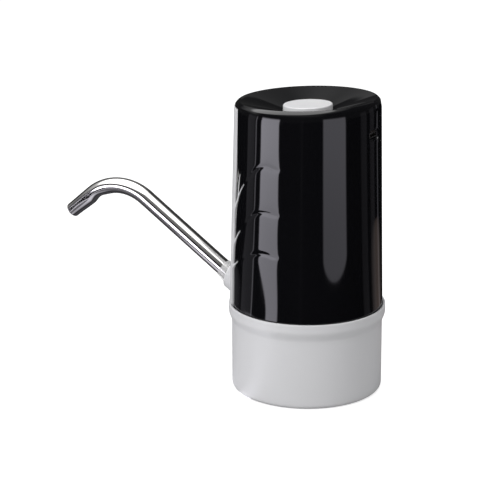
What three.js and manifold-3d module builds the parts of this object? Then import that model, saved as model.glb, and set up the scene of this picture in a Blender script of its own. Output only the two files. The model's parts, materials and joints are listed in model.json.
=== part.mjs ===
// Electric water jug pump: a rechargeable pump that sits on the neck of a drinking-water jug.
// Millimetres, +Z up. The origin is on the body's axis, level with the foot of the base.
// The spout leaves towards -X and the charging port faces +X.

import * as THREE from "three";
import { mergeVertices } from "three/addons/utils/BufferGeometryUtils.js";
import Module from "manifold-3d";

const wasm = await Module();
wasm.setup();

// Driving dimensions

const gap = 0.3; // between pieces that seat or slide on each other
const fineGap = 0.2; // round a shaft, a screw or a hose on its nipple

// Sides of turned pieces
const largeSides = 36;
const middleSides = 22;
const smallSides = 12;
const tinySides = 8;

// Base and jug neck
const neckRadius = 27.5; // of the jug's neck, outside
const neckRoom = 9.5; // from the neck to the outside of the base
const baseWall = 2.5;
const footRound = 2.4;
const footWidth = 6;
const footLipHeight = 4;
const flangeProud = 1.5; // over the base
const flangeLipWall = 1.15;
const flangeTop = 43.2;
const flangeBand = 3.7;
const flangeBlend = 5.5;
const deckThickness = 2.5;
const gripHeight = 15;
const gripWall = 2;
const gripFin = 1.6;
const gripFins = 2;
const gasketWidth = 7;
const gasketThickness = 2;
const fittingRadius = 3.6; // of the suction fitting, where it passes through the deck
const chassisBoss = 7; // under the deck, round each of the frame's screws

// Shell and its dished top
const shellDraft = 1.9; // how much narrower the shell is at its top
const shellWall = 2;
const rimRound = 4.5;
const dishDepth = 5;
const topSlope = THREE.MathUtils.degToRad(1.9); // down towards the spout
const buttonRadius = 11.85;
const buttonStandUp = 1.9; // of the button's face over the dish beside it
const buttonTravel = 0.6;
const buttonRound = 0.7;
const portWidth = 8.2;
const portOpening = 3.4;
const portCorner = 1.1;
const portSeat = 0.8; // of the shallow seat round the port, on each side
const portSeatDepth = 0.5;
const socketWall = 0.4; // of the charging socket's sheet
const socketDepth = 5.4;

// Front panel and its barbs, as angles from the spout and heights over the flange
const panelProud = 1; // over the shell at the panel's foot, nothing at its top
const panelTopDrop = 1.6; // below the start of the rim's rounding, at the axis
const panelLap = 2.6;
const panelLapWall = 1.1;
const panelLapLift = 3; // of its foot over the flange
const panelEdge = [
  [43.4, -40],
  [43.2, 18],
  [46.6, 34],
  [46.6, 48],
  [49.4, 70],
  [49.2, 100],
];
const barbs = [
  { root: [40, 18.8], bend: [46, 22.6], tip: [51.5, 24.3], width: 1.5 },
  { root: [41, 28.6], bend: [48.3, 37], tip: [55, 40.1], width: 1.4 },
  { root: [43, 47.5], bend: [51.5, 58], tip: [60.3, 63.6], width: 1.4 },
  { root: [50.8, 55.8], bend: [51, 62], tip: [53.8, 67.7], width: 0.7 },
];
const barbTipWidth = 0.3;
const grooves = [
  { start: [57, 27], knee: [72, 31.6], level: [84, 33], end: [98, 31.8] },
  { start: [60, 43.4], knee: [72, 50], level: [86, 52.8], end: [98, 51] },
  { start: [62.5, 65.4], knee: [73, 72], level: [85, 75.4], end: [98, 73.2] },
];
const grooveRadius = 1.5;
const grooveDepth = 0.45;
const grooveFade = [0.15, 1, 1, 0]; // share of its depth at start, knee, level and end

// Spout
const spoutRadius = 4.25;
const spoutWall = 0.5;
const spoutSlope = THREE.MathUtils.degToRad(33.8);
const spoutRise = 2.3; // of its axis over the flange, where it leaves the root's cylinder
const spoutRootDepth = 1.05; // of that cylinder behind the shell's seat
const spoutStart = 3.8; // along the axis from there
const spoutStraight = 68.5;
const spoutBendRadius = 27.5;
const spoutBend = THREE.MathUtils.degToRad(72.8);
const spoutTip = 17.6;
const spoutTipRadius = 3.9;
const spoutDent = 0.8; // of the bend's inner side, where the bend ends
const bossEnd = 12;
const bossWall = 1.4;
const chin = [ // how far out of the shell, how wide to each side, and how high over the flange
  [2.8, 1.6, -6],
  [4.8, 2.8, -3.4],
  [6.8, 4.2, 0],
  [8.4, 5.5, 3],
  [9.2, 6.3, 6],
  [8.6, 6.5, 9],
  [5.8, 5.6, 13],
  [0.8, 3.2, 17],
];
const sealWall = 0.75;
const sealProud = 3.6;
const nippleRadius = 2.2;
const nippleBore = 1.3;
const nippleRise = 4; // of the hose nipples over the foot of the pump's cover
const nippleLength = 8;
const hoseWall = 1.4;
const outletLength = 6; // of the pump's outlet nipple
const inletLength = 4;
const flangeWidth = 2.4; // of the suction fitting's flange, round its stem
const flangeThickness = 1.4;
const nutAcross = 12.8; // of the fitting's nut, over its corners
const nutHeight = 3;
const barbRadius = 3.3;

// Pump and motor, on one upright axis
const pumpX = -7;
const pumpRadius = 13.5;
const inletRoom = 9; // between the deck and the pump's cover
const coverHeight = 8;
const valvePlate = 3;
const diaphragmWeb = 1.2;
const crankCaseHeight = 16;
const crankCaseWall = 1.6;
const pumpLugRadius = 2.3;
const pumpLugHeight = 9;
const motorRadius = 12.2;
const motorLength = 30.8;
const sleeveWall = 1;
const endCapHeight = 2.5;
const terminalX = 7.5; // of the motor's terminals, from its axis
const terminalHeight = 3.6;
const motorNose = [3, 2]; // radius and height of the motor's bearing boss
const shaftRadius = 1;
const eccentricRadius = 5.2;
const eccentricHeight = 6;
const shaftSeat = 3; // of the shaft in the eccentric
const pinRadius = 0.75;
const pinSeat = 3.4; // of the pin in the eccentric
const pinTilt = THREE.MathUtils.degToRad(7.4);
const pistonRing = 6.3; // from the axis to each diaphragm cup
const pistons = 3;
const cupRadius = 3.7;
const stalkRadius = 0.8;
const armHalf = 2; // half the width of the wobble plate's arms
const armRise = 3.6; // of the arms over the diaphragm's web
const armThickness = 1.5;
const hubRise = 2; // of the wobble plate's hub over its arms

// Cell, frame and board
const cellRadius = 9.2;
const cellLength = 65;
const cellRoom = 0.9; // between the cell and the motor's strap
const cellY = 4;
const cellRise = 6; // over the deck
const tabThickness = 0.3;
const plateThickness = 2.2;
const plateRoom = 2.1; // between the upright plate's edges and the shell
const chassisScrewInset = [3, 4.9]; // from the plate's edge and its near face
const plateDrop = 9.1; // from the board down to the plate's top
const ribThickness = 2.5;
const ribInset = 5; // of the motor's ribs from its ends
const cradleInset = 11; // of the cell's ribs from its ends
const footRadius = 3.5; // of the frame's feet
const stiffenerX = 14;
const stiffenerDepth = 5;
const windowHalf = 11;
const windowHeights = [20, 7];
const strapThickness = 1.4;
const strapWidth = 6;
const cellStrapRise = 26; // over the cell's foot
const motorStrapRise = 12; // over the motor's foot
const leadRoom = 21.1; // between the board and the taller of cell and motor
const boardThickness = 1.6;
const boardRoom = 9.4; // between the board and the shell
const boardPostInset = 4;
const boardPostRadius = 2.6;
const boardPilot = 7;
const stemLength = 6.2; // from the switch's plunger up to the dish
const chips = [ // on the board: x, y, half width, half depth and height
  [-11, -5, 3, 3, 1.2],
  [10, 7.5, 2, 1.5, 1],
  [-10.8, 7, 1.2, 2, 1.6],
];
const ledPlace = [8, -6];
const ledRadius = 1.5;
const switchSide = 6;
const switchHeight = 3.5;
const plungerRadius = 1.75;
const plungerProud = 1.3;
const leadRadius = 0.7;

// Fasteners
const columnHeight = 28; // of the shell's screw columns, over the deck
const columnRadius = 3;
const columnInset = 1.5; // of the columns from the shell's inside
const pilotDepth = 14;
const shellScrewLength = 13;
const chassisScrewLength = 8;
const boardScrewLength = 6.5;
const pumpScrewLength = 18;
const shellScrewAngles = [-90, -20, 90];
const screwShank = 1.25;
const screwHead = 2.7;
const screwHeadHeight = 1.5;

// Derived levels and radii

const baseRadius = neckRadius + neckRoom;
const footInnerRadius = baseRadius - footWidth;
const flangeRadius = baseRadius + flangeProud;
const ledge = flangeTop - flangeBand;
const deckTop = ledge - flangeBlend;
const deckUnder = deckTop - deckThickness;
const shellFoot = ledge + gap;
const shellSeatRadius = flangeRadius - flangeLipWall - gap;
const shellTopRadius = shellSeatRadius - shellDraft;
const shellScrewRing = shellSeatRadius - shellWall - columnInset - columnRadius;
const columnTop = deckTop + columnHeight;

const coverFoot = deckTop + inletRoom;
const nippleHeight = coverFoot + nippleRise;
const valveFoot = coverFoot + coverHeight + gap;
const diaphragmFoot = valveFoot + valvePlate + gap;
const crankFoot = diaphragmFoot + diaphragmWeb + gap;
const motorFoot = crankFoot + crankCaseHeight + gap;
const motorTop = motorFoot + motorLength;
const nutationCentre = crankFoot + 1;
const sleeveBore = motorRadius + fineGap;
const sleeveOutside = sleeveBore + sleeveWall;
const motorSaddle = sleeveOutside + gap;

const plateY = Math.max(sleeveOutside, pumpRadius - 0.1) + fineGap;
const cellX = pumpX + sleeveOutside + gap + strapThickness + cellRoom + cellRadius;
const cellFoot = deckTop + cellRise;
const worksTop = Math.max(cellFoot + cellLength, motorTop + gap + endCapHeight);
const boardTop = worksTop + leadRoom + boardThickness;
const boardRadius = shellTopRadius - shellWall - boardRoom;
const boardPostRing = boardRadius - boardPostInset;
const plateTop = boardTop - boardThickness - plateDrop;
const plateHalfWidth = Math.sqrt(
  (shellTopRadius - shellWall - plateRoom) ** 2 - (plateY + plateThickness) ** 2,
);
const plungerTop = boardTop + gap + switchHeight + plungerProud;
const portHeight = boardTop + portOpening / 2;

const dishFloor = plungerTop + stemLength;
const bodyHeight = dishFloor + dishDepth; // to the crest of the rim, at the axis
const rimStart = bodyHeight - rimRound;
const dishMouth = shellTopRadius - rimRound;
const buttonHole = buttonRadius + gap;
const panelTop = rimStart - panelTopDrop;

const spoutHeight = flangeTop + spoutRise;
const spoutRootRadius = shellSeatRadius - spoutRootDepth;
const sealBore = spoutRadius + fineGap;
const sealRadius = sealBore + sealWall;
const socketRadius = sealRadius + gap;
const bossRadius = socketRadius + bossWall;

// Materials

const finish = (color, roughness, metalness = 0) =>
  new THREE.MeshStandardMaterial({ color, roughness, metalness });
const blackGloss = finish(0x0b0b0d, 0.08);
const whitePlastic = finish(0xd9d9dc, 0.35);
const steel = finish(0xc9c9c6, 0.15, 1);
const silicone = finish(0xe6e6e4, 0.5);
const greyRubber = finish(0x3a3b3d, 0.8);
const nylon = finish(0xe9e6dc, 0.5);
const boardGreen = finish(0x1f6b3a, 0.45);
const cellWrap = finish(0x2f6fb5, 0.4);
const nickel = finish(0xb9b6ad, 0.3, 1);
const zincPlate = finish(0xa8a9ab, 0.35, 1);
const redWire = finish(0xb3201c, 0.5);
const blackWire = finish(0x141414, 0.5);

// Solids: geometry in, closed solid out

function solid(geometry) {
  const bare = geometry.index ? geometry.clone() : geometry;
  bare.deleteAttribute("normal");
  bare.deleteAttribute("uv");
  const merged = mergeVertices(bare, 1e-4);
  const made = new wasm.Manifold(
    new wasm.Mesh({
      numProp: 3,
      vertProperties: new Float32Array(merged.attributes.position.array),
      triVerts: new Uint32Array(merged.index.array),
    }),
  );
  if (made.volume() < 0) throw new Error("a solid is inside out");
  return made;
}

function geometryOf(made) {
  const { vertProperties, triVerts } = made.getMesh();
  const geometry = new THREE.BufferGeometry();
  geometry.setAttribute("position", new THREE.BufferAttribute(vertProperties, 3));
  geometry.setIndex(new THREE.BufferAttribute(triVerts, 1));
  geometry.computeVertexNormals();
  return geometry;
}

const join = (...solids) => solids.reduce((a, b) => a.add(b));
const cut = (from, ...solids) => solids.reduce((a, b) => a.subtract(b), from);

// Builders: each gives a geometry in the part's frame

function revolve(points, segments = middleSides, x = 0, y = 0) {
  const closed = points[0][0] > 0 || points.at(-1)[0] > 0 ? [...points, points[0]] : points;
  let area = 0;
  for (let i = 0; i < points.length; i++) {
    const [r1, z1] = points[i];
    const [r2, z2] = points[(i + 1) % points.length];
    area += r1 * z2 - r2 * z1;
  }
  const path = area > 0 ? closed : [...closed].reverse();
  const profile = path.map(([r, z]) => new THREE.Vector2(r, z));
  return new THREE.LatheGeometry(profile, segments).rotateX(Math.PI / 2).translate(x, y, 0);
}

function ring(inner, outer, low, high, segments = middleSides, x = 0, y = 0) {
  const profile = [[inner, low], [outer, low], [outer, high], [inner, high]];
  return revolve(profile, segments, x, y);
}

function rod(radius, low, high, segments = smallSides, x = 0, y = 0) {
  return revolve([[0, low], [radius, low], [radius, high], [0, high]], segments, x, y);
}

function block(x1, x2, y1, y2, z1, z2) {
  return new THREE.BoxGeometry(x2 - x1, y2 - y1, z2 - z1).translate(
    (x1 + x2) / 2,
    (y1 + y2) / 2,
    (z1 + z2) / 2,
  );
}

function upright(points, low, high) {
  const shape = new THREE.Shape(points.map(([x, y]) => new THREE.Vector2(x, y)));
  const extruded = new THREE.ExtrudeGeometry(shape, { depth: high - low, bevelEnabled: false });
  return extruded.translate(0, 0, low);
}

const outwards = new THREE.Matrix4().makeBasis(
  new THREE.Vector3(0, 1, 0),
  new THREE.Vector3(0, 0, 1),
  new THREE.Vector3(1, 0, 0),
);

// An outline in Y and Z, run along X
function alongX(points, from, to) {
  return upright(points, from, to).applyMatrix4(outwards);
}

const rodAlongX = (radius, from, to, y, z, segments = tinySides) =>
  rod(radius, from, to, segments).rotateY(Math.PI / 2).translate(0, y, z);

function tube(path, radius, sides, steps) {
  const round = arc(0, 0, radius, 0, 360 - 360 / sides, sides - 1);
  const section = new THREE.Shape(round.map(([x, y]) => new THREE.Vector2(x, y)));
  return new THREE.ExtrudeGeometry(section, { extrudePath: path, steps });
}

function arc(cx, cy, radius, from, to, steps) {
  return Array.from({ length: steps + 1 }, (_, i) => {
    const a = THREE.MathUtils.degToRad(from + ((to - from) * i) / steps);
    return [cx + radius * Math.cos(a), cy + radius * Math.sin(a)];
  });
}

// Skin over a row of rings; the row closes on itself, or ends in flat caps
function skin(rings, closesOnItself) {
  const sides = rings[0].length;
  const positions = rings.flat().flatMap((p) => [p.x, p.y, p.z]);
  const faces = [];
  const last = closesOnItself ? rings.length : rings.length - 1;
  for (let i = 0; i < last; i++)
    for (let j = 0; j < sides; j++) {
      const a = i * sides + j;
      const b = i * sides + ((j + 1) % sides);
      const c = ((i + 1) % rings.length) * sides + j;
      const d = ((i + 1) % rings.length) * sides + ((j + 1) % sides);
      faces.push(a, b, c, b, d, c);
    }
  if (!closesOnItself)
    for (let j = 1; j < sides - 1; j++) {
      const top = (rings.length - 1) * sides;
      faces.push(0, j + 1, j, top, top + j, top + j + 1);
    }
  const geometry = new THREE.BufferGeometry();
  geometry.setAttribute("position", new THREE.Float32BufferAttribute(positions, 3));
  geometry.setIndex(faces);
  return geometry;
}

const lerpTable = (table, key) => {
  const next = table.findIndex(([, z]) => z >= key);
  if (next <= 0) return next === 0 ? table[0][0] : table.at(-1)[0];
  const [a, za] = table[next - 1];
  const [b, zb] = table[next];
  return a + ((b - a) * (key - za)) / (zb - za);
};

// Outer surfaces of the body

const shellRadiusAt = (z) => {
  const share = THREE.MathUtils.clamp((z - flangeTop) / (rimStart - flangeTop), 0, 1);
  return shellSeatRadius + (shellTopRadius - shellSeatRadius) * share;
};
const panelRadiusAt = (z) => {
  const share = THREE.MathUtils.clamp((z - flangeTop) / (panelTop - flangeTop), 0, 1);
  return shellRadiusAt(z) + panelProud * (1 - share);
};

// Lets the top of a turned piece slope down towards the spout
function slopeTop(geometry, above) {
  const position = geometry.attributes.position;
  for (let i = 0; i < position.count; i++)
    if (position.getZ(i) > above)
      position.setZ(i, position.getZ(i) + position.getX(i) * Math.tan(topSlope));
  return geometry;
}

// A place on the shell, by its angle from the spout and its height
function onShell(angle, z, side, radius = shellRadiusAt(z)) {
  const a = THREE.MathUtils.degToRad(angle);
  return new THREE.Vector3(-radius * Math.cos(a), side * radius * Math.sin(a), z);
}

// Outline of the panel, run through the wall; grown by the clearance, it cuts the shell's opening

function panelField(grow, low, high) {
  const knees = panelEdge.map(([, rise]) => flangeTop + rise).filter((z) => z > low && z < high);
  const half = [low, ...knees, high].map((z) => {
    const angle = THREE.MathUtils.degToRad(lerpTable(panelEdge, z - flangeTop));
    return [shellRadiusAt(z) * Math.sin(angle) + grow, z];
  });
  const outline = [...half, ...half.map(([y, z]) => [-y, z]).reverse()];
  return solid(alongX(outline, -baseRadius - 10, -10));
}

function barbField({ root, bend, tip, width }, side, grow) {
  const centre = new THREE.QuadraticBezierCurve(
    ...[root, bend, tip].map(([angle, rise]) => {
      const place = onShell(angle, flangeTop + rise, 1);
      return new THREE.Vector2(place.y, place.z);
    }),
  );
  const steps = 4;
  const left = [];
  const right = [];
  for (let i = 0; i <= steps; i++) {
    const t = i / steps;
    const at = centre.getPoint(t);
    const way = centre.getTangent(t);
    if (i === steps) at.addScaledVector(way, grow);
    const half = THREE.MathUtils.lerp(width, barbTipWidth, t) / 2 + grow;
    left.push([side * (at.x - way.y * half), at.y + way.x * half]);
    right.unshift([side * (at.x + way.y * half), at.y - way.x * half]);
  }
  const outline = [...left, ...right];
  return solid(alongX(outline, -baseRadius - 10, -6));
}

const eachBarb = (grow) =>
  barbs.flatMap((barb) => [barbField(barb, 1, grow), barbField(barb, -1, grow)]);

// A shallow groove that carries each barb's line on round the shell

function grooveTool({ start, knee, level, end }, side) {
  const marks = [start, knee, level, end];
  const path = new THREE.CatmullRomCurve3(
    marks.map(([angle, rise], i) => {
      const z = flangeTop + rise;
      const radius = shellRadiusAt(z) + grooveRadius - grooveDepth * grooveFade[i];
      return onShell(angle, z, side, radius);
    }),
  );
  return solid(tube(path, grooveRadius, tinySides, 6));
}

// Shell with its rim, dish, button hole, port, grooves, screw columns and board posts

function makeShell() {
  const ceiling = shellWall + 0.2;
  const dishSlope = Math.atan2(dishDepth, dishMouth - buttonHole);
  const overCrest = 90 + THREE.MathUtils.radToDeg(dishSlope);
  const crest = arc(dishMouth, rimStart, rimRound, 0, overCrest, 6);
  const innerCorner = arc(dishMouth, rimStart, rimRound - shellWall, overCrest, 0, 3);
  const profile = [
    [shellSeatRadius, shellFoot],
    [shellSeatRadius, flangeTop],
    ...crest,
    [buttonHole, dishFloor],
    [buttonHole, dishFloor - ceiling],
    ...innerCorner,
    [shellSeatRadius - shellWall, flangeTop],
    [shellSeatRadius - shellWall, shellFoot],
  ];
  const postTop = dishFloor - ceiling + (boardPostRing - buttonHole) * Math.tan(dishSlope) + 1;
  const posts = boardPosts().map(([x, y]) =>
    solid(rod(boardPostRadius, boardTop + gap, postTop, tinySides, x, y)),
  );
  const columns = shellScrewAngles.map((angle) => {
    const column = join(
      solid(rod(columnRadius, deckTop + gap, columnTop, tinySides, shellScrewRing, 0)),
      solid(block(shellScrewRing, shellSeatRadius - shellWall / 2, -1, 1, ledge + 2, columnTop)),
    );
    const pilot = rod(screwShank + fineGap, 0, deckTop + pilotDepth, tinySides, shellScrewRing, 0);
    return cut(column, solid(pilot)).rotate([0, 0, angle]);
  });
  const port = roundedSlot(0, boardRadius, baseRadius + 3);
  const seat = roundedSlot(portSeat, shellRadiusAt(portHeight) - portSeatDepth, baseRadius + 3);
  const wall = join(solid(slopeTop(revolve(profile, largeSides), flangeTop + gap)), ...posts, ...columns);
  const pilots = boardPosts().map(([x, y]) =>
    solid(rod(screwShank, boardTop, boardTop + boardPilot, tinySides, x, y)),
  );
  return cut(
    wall,
    panelField(gap, shellFoot - 1, panelTop + gap),
    ...eachBarb(gap),
    ...grooves.flatMap((groove) => [grooveTool(groove, 1), grooveTool(groove, -1)]),
    port,
    seat,
    ...pilots,
  );
}

function roundedSlot(grow, from, to) {
  const w = portWidth / 2 - portCorner;
  const h = portOpening / 2 - portCorner;
  const corner = portCorner + grow;
  const outline = [
    ...arc(w, h, corner, 0, 90, 2),
    ...arc(-w, h, corner, 90, 180, 2),
    ...arc(-w, -h, corner, 180, 270, 2),
    ...arc(w, -h, corner, 270, 360, 2),
  ].map(([y, z]) => [y, z + portHeight]);
  return solid(alongX(outline, from, to));
}

function boardPosts() {
  return [90, 210, 330].map((degrees) => {
    const a = THREE.MathUtils.degToRad(degrees);
    return [boardPostRing * Math.cos(a), boardPostRing * Math.sin(a)];
  });
}

// Base: skirt, flange, ledge for the shell and the deck that carries the works

function makeBase() {
  const inner = baseRadius - baseWall;
  const profile = [
    [0, deckUnder],
    [inner, deckUnder],
    [inner, footLipHeight],
    [footInnerRadius, footLipHeight],
    [footInnerRadius, 0],
    ...arc(baseRadius - footRound, footRound, footRound, -90, 0, 3),
    [baseRadius, ledge - flangeBlend],
    [flangeRadius, ledge],
    [flangeRadius, flangeTop - 0.5],
    [flangeRadius - 0.5, flangeTop],
    [flangeRadius - flangeLipWall, flangeTop],
    [flangeRadius - flangeLipWall, ledge],
    [inner, ledge],
    [inner, deckTop],
    [0, deckTop],
  ];
  const screwHole = rod(screwShank + 2 * fineGap, deckUnder - 1, deckTop + 1, tinySides, shellScrewRing);
  const driverNotch = rod(screwHead + gap, -1, footLipHeight + 1, smallSides, shellScrewRing);
  const bosses = chassisScrews().map(([x, y]) =>
    solid(rod(columnRadius, deckTop - chassisBoss, deckTop - 0.5, smallSides, x, y)),
  );
  const pilots = chassisScrews().map(([x, y]) =>
    solid(rod(screwShank + fineGap, deckTop - chassisBoss - 1, deckTop + 1, tinySides, x, y)),
  );
  return cut(
    join(solid(revolve(profile, largeSides)), ...bosses),
    ...atShellScrews(screwHole),
    ...atShellScrews(driverNotch),
    ...pilots,
    solid(rod(fittingRadius + fineGap, 0, deckTop + 1, smallSides, pumpX, 0)),
  );
}

const atShellScrews = (geometry) =>
  shellScrewAngles.map((angle) => solid(geometry).rotate([0, 0, angle]));

const chassisScrews = () =>
  [-1, 1].map((side) => [side * (plateHalfWidth - chassisScrewInset[0]), plateY + chassisScrewInset[1]]);

// Front panel: wall, lap behind the shell, barbs, spout boss with its chin, and the hose nipple

const spoutRoot = new THREE.Vector3(-spoutRootRadius, 0, spoutHeight);
const spoutWay = new THREE.Vector3(-Math.cos(spoutSlope), 0, Math.sin(spoutSlope));
const toSpout = new THREE.Matrix4().compose(
  spoutRoot,
  new THREE.Quaternion().setFromUnitVectors(new THREE.Vector3(0, 0, 1), spoutWay),
  new THREE.Vector3(1, 1, 1),
);

function panelWall(outerAt, innerAt, low, high) {
  const levels = [low, flangeTop + gap, flangeTop + gap, high];
  const outer = levels.map((z, i) => [i < 2 ? shellSeatRadius : outerAt(z), z]);
  const profile = [...outer, [innerAt(high), high], [innerAt(low), low]];
  return solid(revolve(profile, largeSides));
}

function makePanel() {
  const innerAt = (z) => shellRadiusAt(z) - shellWall - gap;
  const wall = panelWall(panelRadiusAt, innerAt, shellFoot, panelTop);
  const face = wall.intersect(panelField(0, shellFoot - 1, panelTop));
  const flushWall = panelWall((z) => shellRadiusAt(z) + 0.05, innerAt, shellFoot, panelTop);
  const tips = eachBarb(0).map((barb) => barb.intersect(flushWall));
  const lapLow = flangeTop + panelLapLift;
  const lap = solid(
    revolve(
      [
        [innerAt(lapLow), lapLow],
        [innerAt(panelTop), panelTop],
        [innerAt(panelTop) - panelLapWall, panelTop],
        [innerAt(lapLow) - panelLapWall, lapLow],
      ],
      largeSides,
    ),
  ).intersect(panelField(panelLap, lapLow - 1, panelTop + 1));
  const behind = lap.subtract(columnsClearance());
  const bossRod = solid(rod(bossRadius, -2, bossEnd, middleSides).applyMatrix4(toSpout));
  const boss = cut(
    join(bossRod, solid(makeChin())),
    solid(rod(innerAt(flangeTop) - 1, 0, bodyHeight, largeSides)),
    solid(ring(innerAt(flangeTop) - 2, flangeRadius + gap, 0, flangeTop + gap, largeSides)),
  );
  const nippleEnd = -spoutRootRadius + nippleLength;
  const nippleStart = 1 - spoutRootRadius;
  const nipple = solid(rodAlongX(nippleRadius, nippleStart, nippleEnd, 0, nippleHeight, smallSides));
  const socketFoot = spoutStart - 1.2;
  const socket = solid(rod(socketRadius, socketFoot, bossEnd + 5, middleSides).applyMatrix4(toSpout));
  const passage = solid(rodAlongX(nippleBore, -spoutRootRadius - 4, -20, 0, nippleHeight));
  return cut(join(face, behind, ...tips, boss, nipple), socket, passage);
}

// Room that the lap leaves round the shell's screw columns
const columnsClearance = () =>
  join(...atShellScrews(rod(columnRadius + gap, 0, columnTop + gap, smallSides, shellScrewRing)));

function makeChin() {
  const root = shellRadiusAt(flangeTop) - shellWall + 0.4;
  return skin(
    chin.map(([front, halfWidth, rise]) =>
      Array.from({ length: smallSides }, (_, j) => {
        const a = (j / smallSides) * 2 * Math.PI;
        const out = Math.cos(a) > 0 ? shellSeatRadius + front - root : 0.6;
        return new THREE.Vector3(-root - out * Math.cos(a), -halfWidth * Math.sin(a), flangeTop + rise);
      }),
    ),
    false,
  );
}

// Spout tube in its own axes: out along +Z, its bend towards -X

function makeSpoutTube() {
  const rings = [];
  const place = (x, z, turn, outer, innerSide, across) => {
    rings.push({ x, z, turn, outer, innerSide, across });
  };
  place(0, spoutStart, 0, spoutRadius, spoutRadius, spoutRadius);
  place(0, spoutStraight - 4, 0, spoutRadius, spoutRadius, spoutRadius);
  const bendSteps = 8;
  for (let i = 0; i <= bendSteps; i++) {
    const share = i / bendSteps;
    const turn = spoutBend * share;
    const flatten = 0.18 * Math.sin(Math.PI * share);
    const dent = spoutDent * Math.exp(-(((share - 0.93) / 0.13) ** 2));
    place(
      -spoutBendRadius * (1 - Math.cos(turn)),
      spoutStraight + spoutBendRadius * Math.sin(turn),
      turn,
      spoutRadius - flatten,
      spoutRadius - flatten - dent,
      spoutRadius + flatten / 2,
    );
  }
  const end = rings.at(-1);
  const way = [-Math.sin(spoutBend), Math.cos(spoutBend)];
  for (const [share, radius, dent] of [
    [0.08, spoutRadius, 0.35],
    [0.16, spoutRadius, 0],
    [0.5, (spoutRadius + spoutTipRadius) / 2, 0],
    [1, spoutTipRadius, 0],
  ]) {
    const drop = spoutRadius - radius; // the tip narrows on its inner side
    place(
      end.x + way[0] * spoutTip * share,
      end.z + way[1] * spoutTip * share,
      spoutBend,
      spoutRadius - drop * 0.3,
      radius - drop * 0.7 - dent,
      radius,
    );
  }
  const sides = smallSides;
  const ringAt = ({ x, z, turn, outer, innerSide, across }, inset) =>
    Array.from({ length: sides }, (_, j) => {
      const a = (j / sides) * 2 * Math.PI;
      const reach = (Math.cos(a) > 0 ? outer : innerSide) - inset;
      const u = reach * Math.cos(a);
      const v = (across - inset) * Math.sin(a);
      return new THREE.Vector3(x + u * Math.cos(turn), v, z + u * Math.sin(turn));
    });
  const outside = rings.map((r) => ringAt(r, 0));
  const inside = rings.map((r) => ringAt(r, spoutWall)).reverse();
  return skin([...outside, ...inside], true);
}

function makeSpoutSeal() {
  const low = spoutStart;
  const high = bossEnd + sealProud;
  const ridge = 0.12;
  return revolve(
    [
      [sealBore, low],
      [sealRadius - 0.3, low],
      [sealRadius, low + 1],
      [sealRadius + ridge, low + 2.6],
      [sealRadius, low + 4.2],
      [sealRadius + ridge, low + 5.8],
      [sealRadius, low + 7.4],
      [sealRadius, high - 0.5],
      [sealRadius - 0.4, high],
      [sealBore, high],
    ],
    smallSides,
  );
}

// Button: face, skirt, retaining flange and the stem over the switch

function makeButton() {
  const face = dishFloor + buttonStandUp;
  const under = dishFloor - shellWall - 0.2 - gap - 0.6;
  const flangeHigh = under - 0.2;
  const cap = revolve(
    [
      [0, face],
      [buttonRadius - buttonRound - 1, face],
      ...arc(buttonRadius - buttonRound, face - buttonRound, buttonRound, 75, 0, 2),
      [buttonRadius, flangeHigh],
      [buttonRadius + 1.4, flangeHigh],
      [buttonRadius + 1.4, flangeHigh - 1],
      [buttonRadius - 1.6, flangeHigh - 1],
      [buttonRadius - 1.6, face - 2],
      [plungerRadius + 0.6, face - 2],
      [plungerRadius + 0.6, plungerTop + gap],
      [0, plungerTop + gap],
    ],
    middleSides,
  );
  return slopeTop(cap, dishFloor - shellWall);
}

// Works: pump, motor, cell, frame and board

function makePumpCover() {
  const top = coverFoot + coverHeight;
  const body = solid(
    revolve(
      [[0, coverFoot], [pumpRadius - 1, coverFoot], [pumpRadius, coverFoot + 1], [pumpRadius, top], [0, top]],
      middleSides,
      pumpX,
    ),
  );
  const outletEnd = pumpX - pumpRadius - outletLength;
  const outlet = solid(rodAlongX(nippleRadius, outletEnd, pumpX - 5, 0, nippleHeight, smallSides));
  const outletBore = solid(rodAlongX(nippleBore, outletEnd - 1, pumpX, 0, nippleHeight));
  const inlet = solid(rod(nippleRadius, coverFoot - inletLength, coverFoot + 1, smallSides, pumpX));
  const inletBore = solid(rod(nippleBore, coverFoot - inletLength - 1, coverFoot + 1.4, tinySides, pumpX));
  const chamber = solid(ring(5, 9.5, coverFoot + 3, top + 1, smallSides, pumpX));
  const screwHoles = pumpScrewHoles(coverFoot - 1, top + 1);
  return cut(join(body, outlet, inlet), outletBore, inletBore, chamber, ...screwHoles);
}

function pumpScrewPlaces() {
  return [30, 150, 270].map((degrees) => {
    const a = THREE.MathUtils.degToRad(degrees);
    const out = pumpRadius - 2;
    return [pumpX + out * Math.cos(a), out * Math.sin(a)];
  });
}

const pumpScrewHoles = (low, high) =>
  pumpScrewPlaces().map(([x, y]) => solid(rod(1 + fineGap, low, high, tinySides, x, y)));

const pistonPlaces = () =>
  Array.from({ length: pistons }, (_, i) => {
    const a = ((i + 0.75) / pistons) * 2 * Math.PI;
    return [pumpX + pistonRing * Math.cos(a), pistonRing * Math.sin(a)];
  });

function makeValvePlate() {
  const disc = solid(rod(pumpRadius, valveFoot, valveFoot + valvePlate, middleSides, pumpX));
  const ports = pistonPlaces().map(([x, y]) =>
    solid(rod(1.1, valveFoot - 1, valveFoot + valvePlate + 1, tinySides, x, y)),
  );
  const centre = solid(rod(1.6, valveFoot - 1, valveFoot + valvePlate - 1, tinySides, pumpX));
  return cut(disc, ...ports, centre, ...pumpScrewHoles(valveFoot - 1, valveFoot + valvePlate + 1));
}

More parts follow.
